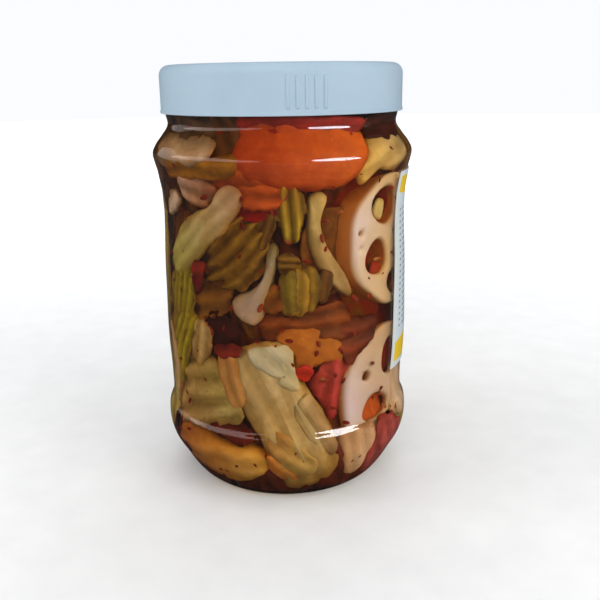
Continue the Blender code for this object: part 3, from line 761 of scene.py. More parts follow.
    ("garlic", 1, 9, [(187, 159, 163), (114, 106, 83)], (0, 5), 0.3, [  # clove
        (-7.5, 96), (-5, 97), (-3, 95), (-3, 92), (-4.5, 87), (-6, 82.5), (-8.5, 78), (-9.5, 74),
        (-11, 70.5), (-14, 68.5), (-19, 69), (-23.5, 71), (-26, 74), (-26, 77), (-21.5, 79.5),
        (-15, 81.5), (-10.5, 85), (-9, 89), (-8.5, 92.5)]),
]


# how each kind is finished: how strongly its waves shade it, how sharp its rim is, how ragged and
# frilled it is, how far it overlaps its neighbours and leans, and how dark the painted shade on its rim is
kindLooks = {
    "stem": {"shade": 0.25, "rim": 4.0, "ragged": 0.5, "grow": 0.5, "tilt": 0.8, "brineShade": 0.7},
    "sheet": {"shade": 0.2, "rim": 4.0, "ragged": 0.3, "tilt": 0.3, "brineShade": 0.25},
    "leaf": {
        "shade": 0.5, "rim": 4.0, "frill": 1.4, "ragged": 1.3, "grow": 1.3, "tilt": 1.4, "brineShade": 0.8,
    },
    "chilli": {
        "shade": 0.4, "rim": 4.0, "frill": 0.9, "ragged": 1.0, "grow": 0.6, "tilt": 1.0, "brineShade": 0.6,
    },
    "carrot": {"rim": 6.0, "ragged": 0.8, "grow": 0.4, "brineShade": 0.8},
    "garlic": {"rim": 2.0, "brineShade": 0.4},
}
# small pieces behind the holes of the lotus slices and inside them
linings = [
    # kind, depth, thickness, tint, angle, height, radius
    ("leaf", 14.0, 2, (150, 95, 60), 57, 107, 9),
    ("stem", 4.5, 3, (196, 190, 196), 54.5, 105.0, 4.0),
    ("chilli", 14.0, 2, (180, 75, 55), 50, 88, 9),
    ("chilli", 4.5, 1.6, (150, 52, 44), 50.5, 84.0, 3.2),
    ("leaf", 14.0, 2, (120, 85, 50), 66, 77, 9),
    ("chilli", 6.5, 2, (180, 72, 82), 61, 50, 8),
    ("carrot", 7.0, 2, (186, 100, 84), 50, 32, 9),
]


def ovalOutline(angle, height, radius):
    reach = math.degrees(radius * mm / unroll)
    spins = [math.pi * step / 4 for step in range(8)]
    return [(angle + reach * math.sin(spin), height + radius * math.cos(spin)) for spin in spins]


def addFront(crates):
    for index, (kind, depth, thick, tint, folds, lumps, outline) in enumerate(frontPieces):
        crate = crates["stem" if kind == "sheet" else kind]
        looks = kindLooks[kind]
        addPillow(crate, outline, depth, thick, tint, folds, lumps, seed=3.7 * index + 1, **looks)
    for kind, depth, thick, tint, angle, height, radius in linings:
        outline = ovalOutline(angle, height, radius)
        addPillow(crates[kind], outline, depth, thick, tint, (0.8, 5), 0.8, grade="coarse")


# the same kinds again round the sides and the back, drawn by rule
filling = {
    "seed": 12, "levels": (16, 34, 52, 70, 88, 106, 124, 140), "firstAngle": 84, "lastAngle": 282,
    "step": 19, "shift": 9,  # degrees; every second row is shifted
    "kinds": ("stem", "leaf", "carrot", "stem", "leaf", "chilli", "stem", "leaf"),
}
fillTints = {
    "stem": [(204, 168, 116), (178, 158, 96), (190, 142, 84)],
    "leaf": [(142, 116, 40), (126, 88, 42), (158, 128, 74)],
    "chilli": [(140, 36, 28), (110, 38, 26)],
    "carrot": [(190, 84, 24), (178, 98, 38)],
}
fillShapes = {
    # width from and to, length from and to, thickness, folds, lumps
    "stem": (13, 18, 26, 40, 6.0, (0.9, 6), 0.6),
    "leaf": (18, 24, 24, 34, 1.6, (2.2, 7), 0.8),
    "carrot": (18, 24, 20, 28, 5.0, (0.0, 5), 0.4),
    "chilli": (8, 12, 18, 30, 1.8, (1.2, 6), 0.6),
}


def fillerOutline(draw, angle, height, width, length, turn):
    points = []
    for index in range(9):
        spin = 2 * math.pi * index / 9
        reach = draw.uniform(0.92, 1.06)  # a little uneven
        x = width / 2 * reach * math.cos(spin)
        y = length / 2 * reach * math.sin(spin)
        right = x * math.cos(turn) + y * math.sin(turn)
        rise = y * math.cos(turn) - x * math.sin(turn)
        points.append((angle + math.degrees(right * mm / unroll), height + rise))
    return points


def addFilling(crates):
    draw = random.Random(filling["seed"])
    kinds = filling["kinds"]
    number = 0
    for row, level in enumerate(filling["levels"]):
        angle = filling["firstAngle"] + (filling["shift"] if row % 2 else 0)
        while angle < filling["lastAngle"]:
            kind = kinds[number % len(kinds)]
            number += 1
            tint = draw.choice(fillTints[kind])
            turn = draw.uniform(-1.2, 1.2)
            where = (angle + draw.uniform(-3, 3), level + draw.uniform(-3, 3))
            depth = draw.uniform(0.4, 3.5)
            narrow, wide, short, tall, thick, folds, lumps = fillShapes[kind]
            size = (draw.uniform(narrow, wide), draw.uniform(short, tall))
            outline = fillerOutline(draw, *where, *size, turn)
            looks = kindLooks[kind]
            addPillow(crates[kind], outline, depth, thick, tint, folds, lumps, seed=number, **looks)
            angle += filling["step"]


# lotus root slices: flat discs with rings of holes, pushed out to the wall
lotus = {
    "edge": 0.8, "voxel": 0.75, "bend": 56.0, "warp": 0.7,  # mm
    "count": 96, "holeCount": 24,  # points round a slice and a hole
    "lobes": 0.45, "oval": 0.35, "taller": 1.04, "holeSwell": 0.06,
    "skinAndHoleShade": (0.22, 0.62, 0.86),  # how its side and holes lose red, green and blue: the side's own brown skin, and painted shade inside the holes
}
ringOfHoles = [
    (15, 5.5, 9, 11), (5, 15.7, 10, 9), (-8.7, 12.9, 9, 10), (-16, 1, 8, 12), (-10, -11.1, 9, 9),
    (2.5, -15.8, 10, 9), (13.9, -8, 9, 11),
]
lotusSlices = [
    # angle, height, radius, thickness, turn, depth, tint, holes as (x, y, width, height) in mm
    (64, 94.0, 23.0, 12.0, 0, 0.4, (205, 190, 194),
     [(-6.3, 12.5, 15, 13.5), (-10.6, -5.5, 12, 12.5), (0, -16, 9, 9), (11, -12, 9, 9), (16, 0, 8, 10),
      (9, 12, 9, 9), (-19.3, 4.3, 2.4, 2.4), (-19.3, -1.2, 2, 2)]),
    (61, 38.2, 24.0, 4.5, 0, 0.4, (197, 183, 200),
     [(-0.2, 12.2, 11.3, 13.5), (-14, 8.2, 4, 4), (-8.5, -5.8, 15, 11), (0, -16, 9, 8),
      (12, -11, 8, 9), (16, 1, 8, 9), (13, 12, 8, 8)]),
    (148, 78.0, 25.0, 7.0, 5, 0.6, (222, 192, 160), ringOfHoles),
    (236, 101.0, 25.0, 7.0, 20, 0.6, (222, 192, 160), ringOfHoles),
    (262, 47.0, 24.0, 7.0, -15, 0.6, (222, 192, 160), ringOfHoles),
    (196, 36.0, 24.0, 7.0, 33, 0.6, (222, 192, 160), ringOfHoles),
]


# a deeper layer of dark leaves, seen through the gaps
under = {"seed": 4, "levels": (8, 20, 34, 48, 62, 78, 94, 110, 126, 141), "step": 24}
underTints = [(108, 68, 28), (98, 52, 24), (88, 30, 18), (118, 78, 36), (78, 26, 18), (124, 62, 28)]


def behindLotus(angle, height):  # whether a lotus slice stands in front of this spot
    for around, level, radius in (disc[:3] for disc in lotusSlices):
        across = unroll * math.radians(angle - around)
        if math.hypot(across, (height - level) * mm) < (radius + 7) * mm:
            return True
    return False


def addUnderLayer(crate):
    draw = random.Random(under["seed"])
    for row, level in enumerate(under["levels"]):
        for column in range(360 // under["step"]):
            angle = (column + 0.5 * (row % 2)) * under["step"] + draw.uniform(-4, 4)
            height = level + draw.uniform(-3, 3)
            width, length = draw.uniform(20, 27), draw.uniform(22, 32)
            outline = fillerOutline(draw, angle, height, width, length, draw.uniform(-1, 1))
            depth = draw.uniform(4, 6.5) if row else draw.uniform(2, 4)
            depth += 10 if behindLotus(angle, height) else 0
            tint = draw.choice(underTints) if row else (95, 36, 32)
            addPillow(crate, outline, depth, 1.6, tint, (2.0, 9), 1.0, seed=angle + row, frill=1.5,
                      shade=0.4, ragged=1.2, tilt=1.2, grade="coarse")


fleshes = {
    # crate: piece, material, lines a centimetre, glow, mottle, darker shade
    "stem": ("cabbageStems", "cabbageStem", 9.0, 0.35, 0.3, (0.62, 0.45, 0.26)),
    "leaf": ("cabbageLeaves", "cabbageLeaf", 7.0, 0.15, 0.4, (0.42, 0.26, 0.12)),
    "under": ("deepLeaves", "cabbageLeaf"),
    "chilli": ("chilliPieces", "chilli", 4.0, 0.1, 0.4, (0.35, 0.15, 0.12)),
    "carrot": ("carrotSlices", "carrot", 5.0, 0.25, 0.35, (0.7, 0.42, 0.3)),
    "garlic": ("garlicClove", "garlic", 4.0, 0.45, 0.25, (0.7, 0.5, 0.35)),
}


def makeVegetables():
    crates = {kind: Crate() for kind in fleshes}
    addFront(crates)
    addFilling(crates)
    addUnderLayer(crates["under"])
    for kind, (piece, name, *settings) in fleshes.items():
        material = vegetableMaterial(name, *settings) if settings else bpy.data.materials[name]
        crates[kind].finish(piece, material)


core = {"low": 7 * mm, "tall": 141 * mm, "behind": 9.5 * mm, "lumps": 3.0 * mm}


def makeCore():
    bm = bmesh.new()
    bmesh.ops.create_uvsphere(bm, u_segments=72, v_segments=60, radius=1.0)
    for vert in bm.verts:
        level = 1 - math.acos(max(-1.0, min(1.0, vert.co.z))) / math.pi
        angle = math.atan2(vert.co.x, -vert.co.y)
        height = core["low"] + core["tall"] * min(max((level - 0.06) / 0.88, 0.0), 1.0)
        spot = Vector((math.sin(angle) * 3, math.cos(angle) * 3, height * 70))
        lumps = core["lumps"] * noise.fractal(spot, 1.0, 2.0, 3)
        radius = innerRadius(height) - core["behind"] + lumps
        # drawn in at the top and the foot
        ledge = 0.0 if vert.co.xy.length < 0.001 else min(1.0, 0.5 + 8 * min(level, 1 - level))
        vert.co = roundPoint(angle, height, radius * ledge)
    obj = meshObject("heapCore", bm)
    obj.data.shade_smooth()
    material, tree, shader = newMaterial("darkFilling", 0.7, 0.1)
    coords = objectCoords(tree)
    patches = speckle(tree, coords, 60.0, detail=3.0, stretch=(1, 1, 0.6))
    # kimchi reds and browns made darker: painted shade of the deep heap seen through the gaps
    colour = ramp(tree, patches, [
        (0.30, paint(70, 18, 12)), (0.45, paint(120, 45, 18)), (0.58, paint(110, 80, 25)),
        (0.72, paint(90, 25, 20)),
    ])
    tree.links.new(colour, shader.inputs["Base Color"])
    addBump(tree, shader, speckle(tree, coords, 180.0, detail=4.0), 0.6, 1.5 * mm)
    finishPiece(obj, ["kimchi_heap"], material)


makeVegetables()
makeCore()
print("vegetables are packed")


def seat(angle, height, turn):  # upright against the wall, facing out
    around = math.radians(angle)
    right = Vector((math.cos(around), math.sin(around), 0.0))
    out = Vector((math.sin(around), -math.cos(around), 0.0))
    facing = Matrix((right, Vector((0.0, 0.0, 1.0)), out)).transposed().to_4x4()
    facing = facing @ Matrix.Rotation(math.radians(-turn), 4, "Z")
    return Matrix.Translation((0.0, 0.0, height)) @ facing


def pushOut(mesh, angle, depth):  # moves it outwards until it is that far behind the wall
    out = roundPoint(math.radians(angle), 0.0, 1.0).xy
    reach = []
    for vert in mesh.vertices:
        along = vert.co.xy.dot(out)
        spare = along**2 - vert.co.xy.length_squared + innerRadius(vert.co.z) ** 2
        reach.append(math.sqrt(max(spare, 0.0)) - along)
    shift = out * (min(reach) - depth)
    mesh.transform(Matrix.Translation((shift.x, shift.y, 0.0)))


def lotusMesh(radius, thick, holes, seed):
    draw = random.Random(seed)
    curve = bpy.data.curves.new("lotusCut", "CURVE")
    curve.dimensions = "2D"
    curve.fill_mode = "BOTH"
    curve.extrude = (thick / 2 - lotus["edge"]) * mm
    curve.bevel_depth = lotus["edge"] * mm
    curve.bevel_resolution = 2
    phase = draw.uniform(0, 6)
    outline = []
    for index in range(lotus["count"]):
        spin = 2 * math.pi * index / lotus["count"]
        reach = radius - lotus["edge"]
        reach += lotus["lobes"] * math.cos(7 * spin) + lotus["oval"] * math.cos(2 * spin + phase)
        outline.append((reach * math.cos(spin), lotus["taller"] * reach * math.sin(spin)))
    loops = [outline]
    for x, y, wide, tall in holes:
        dent = draw.uniform(0, 6)
        hole = []
        for index in range(lotus["holeCount"]):
            spin = 2 * math.pi * index / lotus["holeCount"]
            swell = 1 + lotus["holeSwell"] * math.cos(3 * spin + dent)
            hole.append((
                x + (wide / 2 * swell + lotus["edge"]) * math.cos(spin),
                y + (tall / 2 * swell + lotus["edge"]) * math.sin(spin),
            ))
        loops.append(hole)
    for loop in loops:
        spline = curve.splines.new("POLY")
        spline.points.add(len(loop) - 1)
        spline.use_cyclic_u = True
        for point, (x, y) in zip(spline.points, loop):
            point.co = (x * mm, y * mm, 0.0, 1.0)
    drawn = placeObject("lotusCut", curve)
    depsgraph = bpy.context.evaluated_depsgraph_get()
    mesh = bpy.data.meshes.new_from_object(drawn.evaluated_get(depsgraph))
    bpy.data.objects.remove(drawn, do_unlink=True)
    return mesh


def makeLotus():
    bm = bmesh.new()
    bm.verts.layers.float_color.new("tint")
    bm.verts.layers.float_vector.new("lay")
    for number, (angle, height, radius, thick, turn, depth, tint, holes) in enumerate(lotusSlices):
        mesh = lotusMesh(radius, thick, holes, number + 3)
        holder = placeObject("lotusOne", mesh)
        cut = bmesh.new()
        cut.from_mesh(mesh)
        bmesh.ops.remove_doubles(cut, verts=cut.verts, dist=0.01 * mm)
        cut.to_mesh(mesh)
        cut.free()
        melt = holder.modifiers.new("Melt", "REMESH")
        melt.mode = "VOXEL"
        melt.voxel_size = lotus["voxel"] * mm
        smooth = holder.modifiers.new("Ease", "SMOOTH")
        smooth.factor = 0.6
        smooth.iterations = 4
        applyModifiers(holder)
        part = bmesh.new()
        part.from_mesh(holder.data)
        lay = part.verts.layers.float_vector.new("lay")
        tintOne = part.verts.layers.float_color.new("tint")
        for vert in part.verts:
            vert[lay] = (vert.co.x * 100, vert.co.y * 100, vert.co.z * 100)
            # behind the front face it turns browner: the skin's own colour on the side, painted shade
            # inside the holes
            sunk = min(max((thick / 2 - vert.co.z / mm - 0.9) / 1.6, 0.0), 1.0)
            shaded = [c * (1 - sunk * dull) for c, dull in zip(paint(*tint), lotus["skinAndHoleShade"])]
            vert[tintOne] = (*shaded, 1.0)
            spot = vert.co.xy
            warp = noise.noise(Vector((spot.x * 45, spot.y * 45, number * 3.0)))
            vert.co.z += lotus["warp"] * mm * warp
        part.to_mesh(holder.data)
        part.free()
        holder.data.transform(Matrix.Translation((0.0, 0.0, -thick * mm / 2)))
        level = math.radians(turn)
        for vert in holder.data.vertices:  # bent a little along the wall
            sideways = vert.co.x * math.cos(level) + vert.co.y * math.sin(level)
            vert.co.z -= sideways**2 / (2 * lotus["bend"] * mm)
        holder.data.transform(seat(angle, height * mm, turn))
        pushOut(holder.data, angle, depth * mm)
        bm.from_mesh(holder.data)
        bpy.data.objects.remove(holder, do_unlink=True)
    obj = meshObject("lotusSlices", bm)
    obj.data.shade_smooth()
    material, tree, shader = newMaterial("lotusFlesh", 0.5, 0.25)
    tint = addNode(tree, "ShaderNodeAttribute", attribute_name="tint").outputs["Color"]
    lay = addNode(tree, "ShaderNodeAttribute", attribute_name="lay").outputs["Vector"]
    coords = objectCoords(tree)
    broad = speckle(tree, coords, 120.0, detail=4.0)
    fine = speckle(tree, coords, 1100.0, detail=2.0)
    flat = addNode(tree, "ShaderNodeSeparateXYZ", {"Vector": lay})
    across = times(tree, flat.outputs[0], flat.outputs[0])
    upward = times(tree, flat.outputs[1], flat.outputs[1])
    away = figure(tree, "SQRT", figure(tree, "ADD", across, upward))
    peel = ramp(tree, times(tree, away, 0.35), [(0.86, (0.0, 0.0, 0.0)), (0.93, (1.0, 1.0, 1.0))])
    shade = blend(tree, times(tree, broad, 0.6), tint, (0.85, 0.62, 0.5), "MULTIPLY")
    shade = blend(tree, times(tree, fine, 0.25), shade, (0.8, 0.6, 0.5), "MULTIPLY")
    shade = blend(tree, times(tree, peel, 0.5), shade, paint(205, 140, 85))
    tree.links.new(shade, shader.inputs["Base Color"])
    shader.inputs["Subsurface Weight"].default_value = 0.35
    shader.inputs["Subsurface Radius"].default_value = (1.0, 0.6, 0.4)
    shader.inputs["Subsurface Scale"].default_value = 2.5 * mm
    addBump(tree, shader, fine, 0.25, 0.3 * mm)
    finishPiece(obj, ["kimchi_heap"], material)
    print("lotusSlices has", len(obj.data.polygons), "faces")


makeLotus()


# lid
lid = {
    "radius": 43.5 * mm, "height": 16.2 * mm, "wall": 1.2 * mm, "corner": 3.6 * mm, "arcChords": 10,
    "panelRadius": 37.5 * mm, "panelDepth": 0.4 * mm, "lipHeight": 1.2 * mm, "lipProud": 0.25 * mm,
    "ribGroups": 3, "ribs": 5, "ribAngle": 10.4, "ribPitch": 3.0 * mm, "ribWide": 1.1 * mm,
    "ribProud": 0.45 * mm, "ribLow": 2.0 * mm, "ribHigh": 4.0 * mm, "steps": 144,
}


def lidPath():
    bottom = topHeight - lid["height"]
    skirt = lid["radius"] - lid["lipProud"]
    panel = topHeight - lid["panelDepth"]
    rim = lid["panelRadius"]
    sunk = lid["panelDepth"]
    path = [
        (0.0, panel), (rim * 0.5, panel), (rim - 2 * sunk, panel), (rim - sunk, panel + 0.3 * sunk),
        (rim, topHeight - 0.1 * sunk), (rim + sunk, topHeight),
    ]
    for step in range(lid["arcChords"] + 1):
        turn = math.radians(90) * step / lid["arcChords"]
        radius = skirt - lid["corner"] * (1 - math.sin(turn))
        path.append((radius, topHeight - lid["corner"] * (1 - math.cos(turn))))
    path += [
        (skirt, bottom + lid["lipHeight"] + 0.2 * mm), (skirt, bottom + lid["lipHeight"]),
        (lid["radius"] - 0.05 * mm, bottom + lid["lipHeight"] - lid["lipProud"]),
        (lid["radius"], bottom + 0.6 * mm), (lid["radius"] - 0.05 * mm, bottom + 0.15 * mm),
        (lid["radius"] - 0.3 * mm, bottom),
    ]
    return [Vector(point) for point in path]


def makeLid():
    obj = turnedObject("lidShell", lidPath(), lid["steps"])
    giveWall(obj, lid["wall"])
    obj.data.set_sharp_from_angle(angle=math.radians(50))
    material, tree, shader = newMaterial("whitePlastic", 0.36, 0.5)
    coords = objectCoords(tree)
    cloud = speckle(tree, coords, 35.0)
    colour = ramp(tree, cloud, [(0.3, (0.37, 0.49, 0.59)), (0.7, (0.41, 0.53, 0.63))])
    tree.links.new(colour, shader.inputs["Base Color"])
    grain = speckle(tree, coords, 2500.0, detail=2.0)
    addBump(tree, shader, grain, 0.08, 0.1 * mm)
    shader.inputs["Subsurface Weight"].default_value = 0.1
    shader.inputs["Subsurface Scale"].default_value = 1.0 * mm
    finishPiece(obj, ["lid"], material)
    return material


def makeRibs(material):
    # a row of groups of upright bars round the skirt
    tree, inputs, start = newNodes("ribsRound", {
        "Groups": "Int", "Per Group": "Int", "First Angle": "Float", "Pitch": "Float", "Radius": "Float",
        "Height": "Float", "Bar": "Vector",
    })
    given = start.outputs
    total = times(tree, given["Groups"], given["Per Group"])
    line = addNode(tree, "GeometryNodeMeshLine", {"Count": total})
    index = addNode(tree, "GeometryNodeInputIndex").outputs[0]
    group = figure(tree, "FLOOR", figure(tree, "DIVIDE", index, given["Per Group"]))
    inside = figure(tree, "MODULO", index, given["Per Group"])
    middle = figure(tree, "MULTIPLY_ADD", given["Per Group"], 0.5, -0.5)
    step = figure(tree, "DIVIDE", 2 * math.pi, given["Groups"])
    turn = figure(tree, "MULTIPLY_ADD", group, step, given["First Angle"])
    turn = figure(tree, "MULTIPLY_ADD", figure(tree, "SUBTRACT", inside, middle), given["Pitch"], turn)
    place = addNode(tree, "ShaderNodeCombineXYZ", {
        "X": times(tree, figure(tree, "SINE", turn), given["Radius"]),
        "Y": times(tree, figure(tree, "COSINE", turn), given["Radius"], -1.0),
        "Z": given["Height"],
    }).outputs[0]
    spread = addNode(tree, "GeometryNodeSetPosition", {"Geometry": line.outputs[0], "Position": place})
    bar = addNode(tree, "GeometryNodeMeshCube", {
        "Size": given["Bar"], "Vertices X": 5, "Vertices Y": 2, "Vertices Z": 12,
    })
    spot = addNode(tree, "GeometryNodeInputPosition").outputs[0]
    size = addNode(tree, "ShaderNodeVectorMath", {0: spot, 1: given["Bar"]}, operation="DIVIDE")
    parts = addNode(tree, "ShaderNodeSeparateXYZ", {0: size.outputs[0]}).outputs
    # rounds the bar's face across and draws its ends in
    square = figure(tree, "POWER", figure(tree, "ABSOLUTE", parts[0]), 2.0)
    steep = figure(tree, "POWER", figure(tree, "ABSOLUTE", parts[2]), 10.0)
    drop = figure(tree, "ADD", times(tree, square, 2.6), times(tree, steep, 900.0))
    outer = figure(tree, "LESS_THAN", parts[1], 0.0)
    inward = times(tree, figure(tree, "MINIMUM", drop, 1.0), outer, lid["ribProud"])
    shift = addNode(tree, "ShaderNodeCombineXYZ", {"Y": inward}).outputs[0]
    rounded = addNode(tree, "GeometryNodeSetPosition", {"Geometry": bar.outputs[0], "Offset": shift})
    facing = addNode(tree, "ShaderNodeCombineXYZ", {"Z": turn}).outputs[0]
    copies = addNode(tree, "GeometryNodeInstanceOnPoints", {
        "Points": spread.outputs[0], "Instance": rounded.outputs[0], "Rotation": facing,
    })
    endNodes(tree, copies.outputs[0], material)
    obj = placeObject("lidRibs", bpy.data.meshes.new("lidRibs"))
    skirt = lid["radius"] - lid["lipProud"]
    sunk = lid["wall"] / 2
    low = topHeight - lid["height"] + lid["ribLow"]
    high = topHeight - lid["ribHigh"]
    runNodes(obj, tree, inputs, {
        "Groups": lid["ribGroups"], "Per Group": lid["ribs"], "First Angle": math.radians(lid["ribAngle"]),
        "Pitch": lid["ribPitch"] / skirt, "Radius": skirt + (lid["ribProud"] - sunk) / 2,
        "Height": (low + high) / 2, "Bar": (lid["ribWide"], lid["ribProud"] + sunk, high - low),
    })
    finishPiece(obj, ["lid"])


lidMaterial = makeLid()
makeRibs(lidMaterial)
print("lid is made")


# label
label = {
    "low": 45.6 * mm, "high": 117.3 * mm, "startTop": 61.5, "startBottom": 56.5, "end": 210.0,
    "gap": 0.3 * mm, "thick": 0.25 * mm, "columns": 90, "rows": 40,
    # the print, in shares of the label's length and height
    "white": (212, 218, 216), "yellow": (236, 196, 30), "bow": 0.07, "inset": 0.018,
    "topBand": (0.90, 0.975), "lowBand": (0.03, 0.13),
    "panel": (0.03, 0.2), "barRows": 32.0, "barStart": 0.075, "barShort": 0.12, "barSpread": 0.06,
    "dashes": (0.04, 0.055), "barHeights": (0.2, 0.82), "grey": (120, 130, 138), "pale": (205, 217, 224),
    "oval": (0.58, 0.52, 3.6, 3.4), "ovalRim": 0.82, "red": (206, 66, 26),
    "leaves": ((0.33, 0.40), (0.36, 0.62), (0.83, 0.40), (0.80, 0.63)), "leafScale": (16.0, 9.0, 0.8),
    "leafSlant": 0.6, "green": (96, 140, 50),
}


def makeLabel():
    bm = bmesh.new()
    bmesh.ops.create_grid(bm, x_segments=label["columns"], y_segments=label["rows"], size=1.0)
    lay = bm.verts.layers.float_vector.new("lay")
    for vert in bm.verts:
        u = (vert.co.x + 1) / 2
        v = (vert.co.y + 1) / 2
        height = label["low"] + v * (label["high"] - label["low"])
        first = label["startBottom"] + v * (label["startTop"] - label["startBottom"])
        angle = math.radians(first + u * (label["end"] - first))
        vert[lay] = (u, v, 0.0)
        vert.co = roundPoint(angle, height, radiusOn(outerPath, height) + label["gap"])
    obj = meshObject("labelFilm", bm)
    skin = obj.modifiers.new("Skin", "SOLIDIFY")
    skin.thickness = label["thick"]
    skin.offset = 1.0
    applyModifiers(obj)
    obj.data.shade_smooth()
    obj.data.set_sharp_from_angle(angle=math.radians(50))
    material, tree, shader = newMaterial("labelPrint", 0.28, 0.5)
    lay = addNode(tree, "ShaderNodeAttribute", attribute_name="lay").outputs["Vector"]
    u, v = addNode(tree, "ShaderNodeSeparateXYZ", {0: lay}).outputs[:2]
    yellow = paint(*label["yellow"])
    # yellow bands along the top and the bottom with a bowed inner edge
    bow = times(tree, figure(tree, "SINE", times(tree, u, math.pi)), label["bow"])
    top = figure(tree, "GREATER_THAN", figure(tree, "ADD", v, bow), label["topBand"][0])
    top = times(tree, top, figure(tree, "LESS_THAN", v, label["topBand"][1]))
    low = figure(tree, "LESS_THAN", figure(tree, "SUBTRACT", v, bow), label["lowBand"][1])
    low = times(tree, low, figure(tree, "GREATER_THAN", v, label["lowBand"][0]))
    inset = figure(tree, "GREATER_THAN", u, label["inset"])
    bands = times(tree, figure(tree, "ADD", top, low), inset)
    # bluish panel near the first edge, with a stack of small grey bars beside a column of dashes
    panel = within(tree, u, *label["panel"])
    rows = times(tree, v, label["barRows"])
    uneven = figure(tree, "FRACT", times(tree, figure(tree, "FLOOR", rows), 0.618))
    length = figure(tree, "MULTIPLY_ADD", uneven, label["barSpread"], label["barShort"])
    bars = within(tree, u, label["barStart"], length)
    dashes = within(tree, u, *label["dashes"])
    inRow = figure(tree, "GREATER_THAN", figure(tree, "FRACT", rows), 0.65)
    bars = times(tree, figure(tree, "ADD", bars, dashes), inRow, within(tree, v, *label["barHeights"]))
    # a red-orange oval in the middle, with a leaf at each corner
    acrossMiddle, upMiddle, acrossScale, upScale = label["oval"]
    dx = times(tree, figure(tree, "SUBTRACT", u, acrossMiddle), acrossScale)
    dy = times(tree, figure(tree, "SUBTRACT", v, upMiddle), upScale)
    off = figure(tree, "ADD", times(tree, dx, dx), times(tree, dy, dy))
    oval = figure(tree, "LESS_THAN", off, 1.0)
    ovalRim = times(tree, oval, figure(tree, "GREATER_THAN", off, label["ovalRim"]))
    shade = blend(tree, panel, paint(*label["white"]), paint(*label["pale"]))
    shade = blend(tree, bars, shade, paint(*label["grey"]))
    shade = blend(tree, oval, shade, paint(*label["red"]))
    shade = blend(tree, ovalRim, shade, yellow)
    narrow, short, leafEdge = label["leafScale"]
    for side, tall in label["leaves"]:
        dx = times(tree, figure(tree, "SUBTRACT", u, side), narrow)
        dy = times(tree, figure(tree, "SUBTRACT", v, tall), short)
        dx = figure(tree, "ADD", dx, times(tree, dy, label["leafSlant"]))
        off = figure(tree, "ADD", times(tree, dx, dx), times(tree, dy, dy))
        shade = blend(tree, figure(tree, "LESS_THAN", off, leafEdge), shade, paint(*label["green"]))
    shade = blend(tree, bands, shade, yellow)
    tree.links.new(shade, shader.inputs["Base Color"])
    addBump(tree, shader, speckle(tree, objectCoords(tree), 90.0, detail=1.0), 0.1, 0.2 * mm)
    finishPiece(obj, ["label"], material)


makeLabel()
print("label is on")


# chilli flakes float near the wall and lie on the pieces
flakes = {
    "seed": 7, "perSquareMetre": 9000.0, "smallest": 0.5, "largest": 1.4,
    "behind": 1.0 * mm, "spread": 1.5 * mm,  # how far behind the wall they start, and how deep they go
    "low": 9 * mm, "high": 146 * mm, "clear": 30 * mm, "steps": 48, "size": 1.1 * mm,
    "tumble": (0.7, 0.7, 3.1),  # turned up to this either way
}


def flakeShape():
    bm = bmesh.new()
    bmesh.ops.create_icosphere(bm, subdivisions=2, radius=flakes["size"])
    for vert in bm.verts:
        jolt = noise.noise(vert.co * 1900)
        vert.co.x *= 1.15 + 0.6 * jolt
        vert.co.y *= 0.55 - 0.5 * jolt
        vert.co.z *= 0.2
    return meshObject("flakeShape", bm)


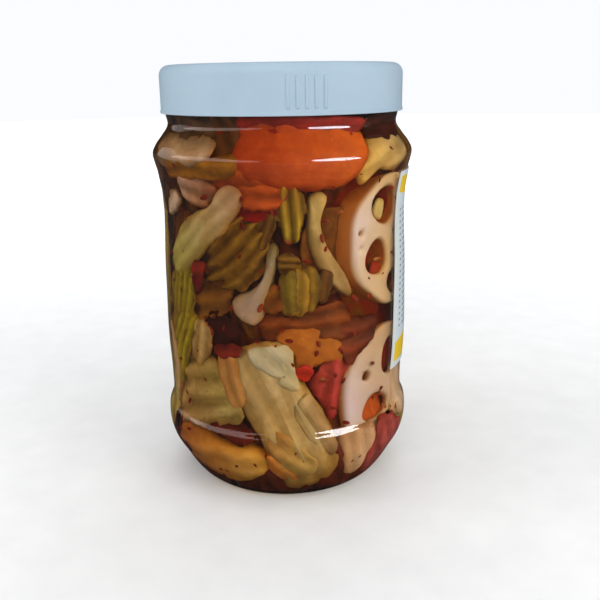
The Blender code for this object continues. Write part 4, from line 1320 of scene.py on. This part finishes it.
def makeFlakes():
    carrierPath = []
    for point in insetPath(outerPath, jar["wall"] + flakes["behind"]):
        if flakes["low"] < point.y < flakes["high"] and point.x > flakes["clear"]:
            carrierPath.append(point)
    carrier = turnedObject("flakes", carrierPath, flakes["steps"])
    applyModifiers(carrier)
    shape = flakeShape()
    material, tree, shader = newMaterial("chilliFlake", 0.5, 0.25)
    spots = speckle(tree, objectCoords(tree), 90.0, detail=1.0)
    colour = ramp(tree, spots, [
        (0.35, paint(98, 22, 12)), (0.5, paint(135, 42, 18)), (0.6, paint(108, 24, 14)),
        (0.8, paint(175, 125, 70)),
    ])
    tree.links.new(colour, shader.inputs["Base Color"])
    tree, inputs, start = newNodes("flakeScatter", {
        "Density": "Float", "Seed": "Int", "Smallest": "Float", "Largest": "Float", "Depth": "Float",
        "Flake": "Object",
    })
    given = start.outputs
    points = addNode(tree, "GeometryNodeDistributePointsOnFaces", {
        "Mesh": given[0], "Density": given["Density"], "Seed": given["Seed"],
    })
    # moved inwards by chance, sized and turned by chance
    away = addNode(tree, "FunctionNodeRandomValue", {2: 0.0, 3: given["Depth"], "Seed": 11})
    spot = addNode(tree, "GeometryNodeInputPosition").outputs[0]
    level = addNode(tree, "ShaderNodeVectorMath", {0: spot, 1: (1.0, 1.0, 0.0)}, operation="MULTIPLY")
    out = addNode(tree, "ShaderNodeVectorMath", {0: level.outputs[0]}, operation="NORMALIZE")
    shift = addNode(
        tree, "ShaderNodeVectorMath", {0: out.outputs[0], "Scale": away.outputs[1]}, operation="SCALE",
    )
    lifted = addNode(tree, "GeometryNodeSetPosition", {
        "Geometry": points.outputs[0], "Offset": shift.outputs[0],
    })
    size = addNode(tree, "FunctionNodeRandomValue", {2: given["Smallest"], 3: given["Largest"], "Seed": 5})
    most = flakes["tumble"]
    spin = addNode(
        tree, "FunctionNodeRandomValue", {0: [-angle for angle in most], 1: most, "Seed": 9},
        data_type="FLOAT_VECTOR",
    )
    turned = addNode(
        tree, "FunctionNodeRotateEuler", {0: points.outputs["Rotation"], 1: spin.outputs[0]}, space="LOCAL",
    )
    flake = addNode(tree, "GeometryNodeObjectInfo", {"Object": given["Flake"]})
    copies = addNode(tree, "GeometryNodeInstanceOnPoints", {
        "Points": lifted.outputs[0], "Instance": flake.outputs["Geometry"], "Rotation": turned.outputs[0],
        "Scale": size.outputs[1],
    })
    endNodes(tree, copies.outputs[0], material)
    runNodes(carrier, tree, inputs, {
        "Density": flakes["perSquareMetre"], "Seed": flakes["seed"], "Smallest": flakes["smallest"],
        "Largest": flakes["largest"], "Depth": -flakes["spread"], "Flake": shape,
    })
    bpy.data.objects.remove(shape, do_unlink=True)
    finishPiece(carrier, ["kimchi_heap"])
    print("flakes has", len(carrier.data.polygons), "faces")


makeFlakes()
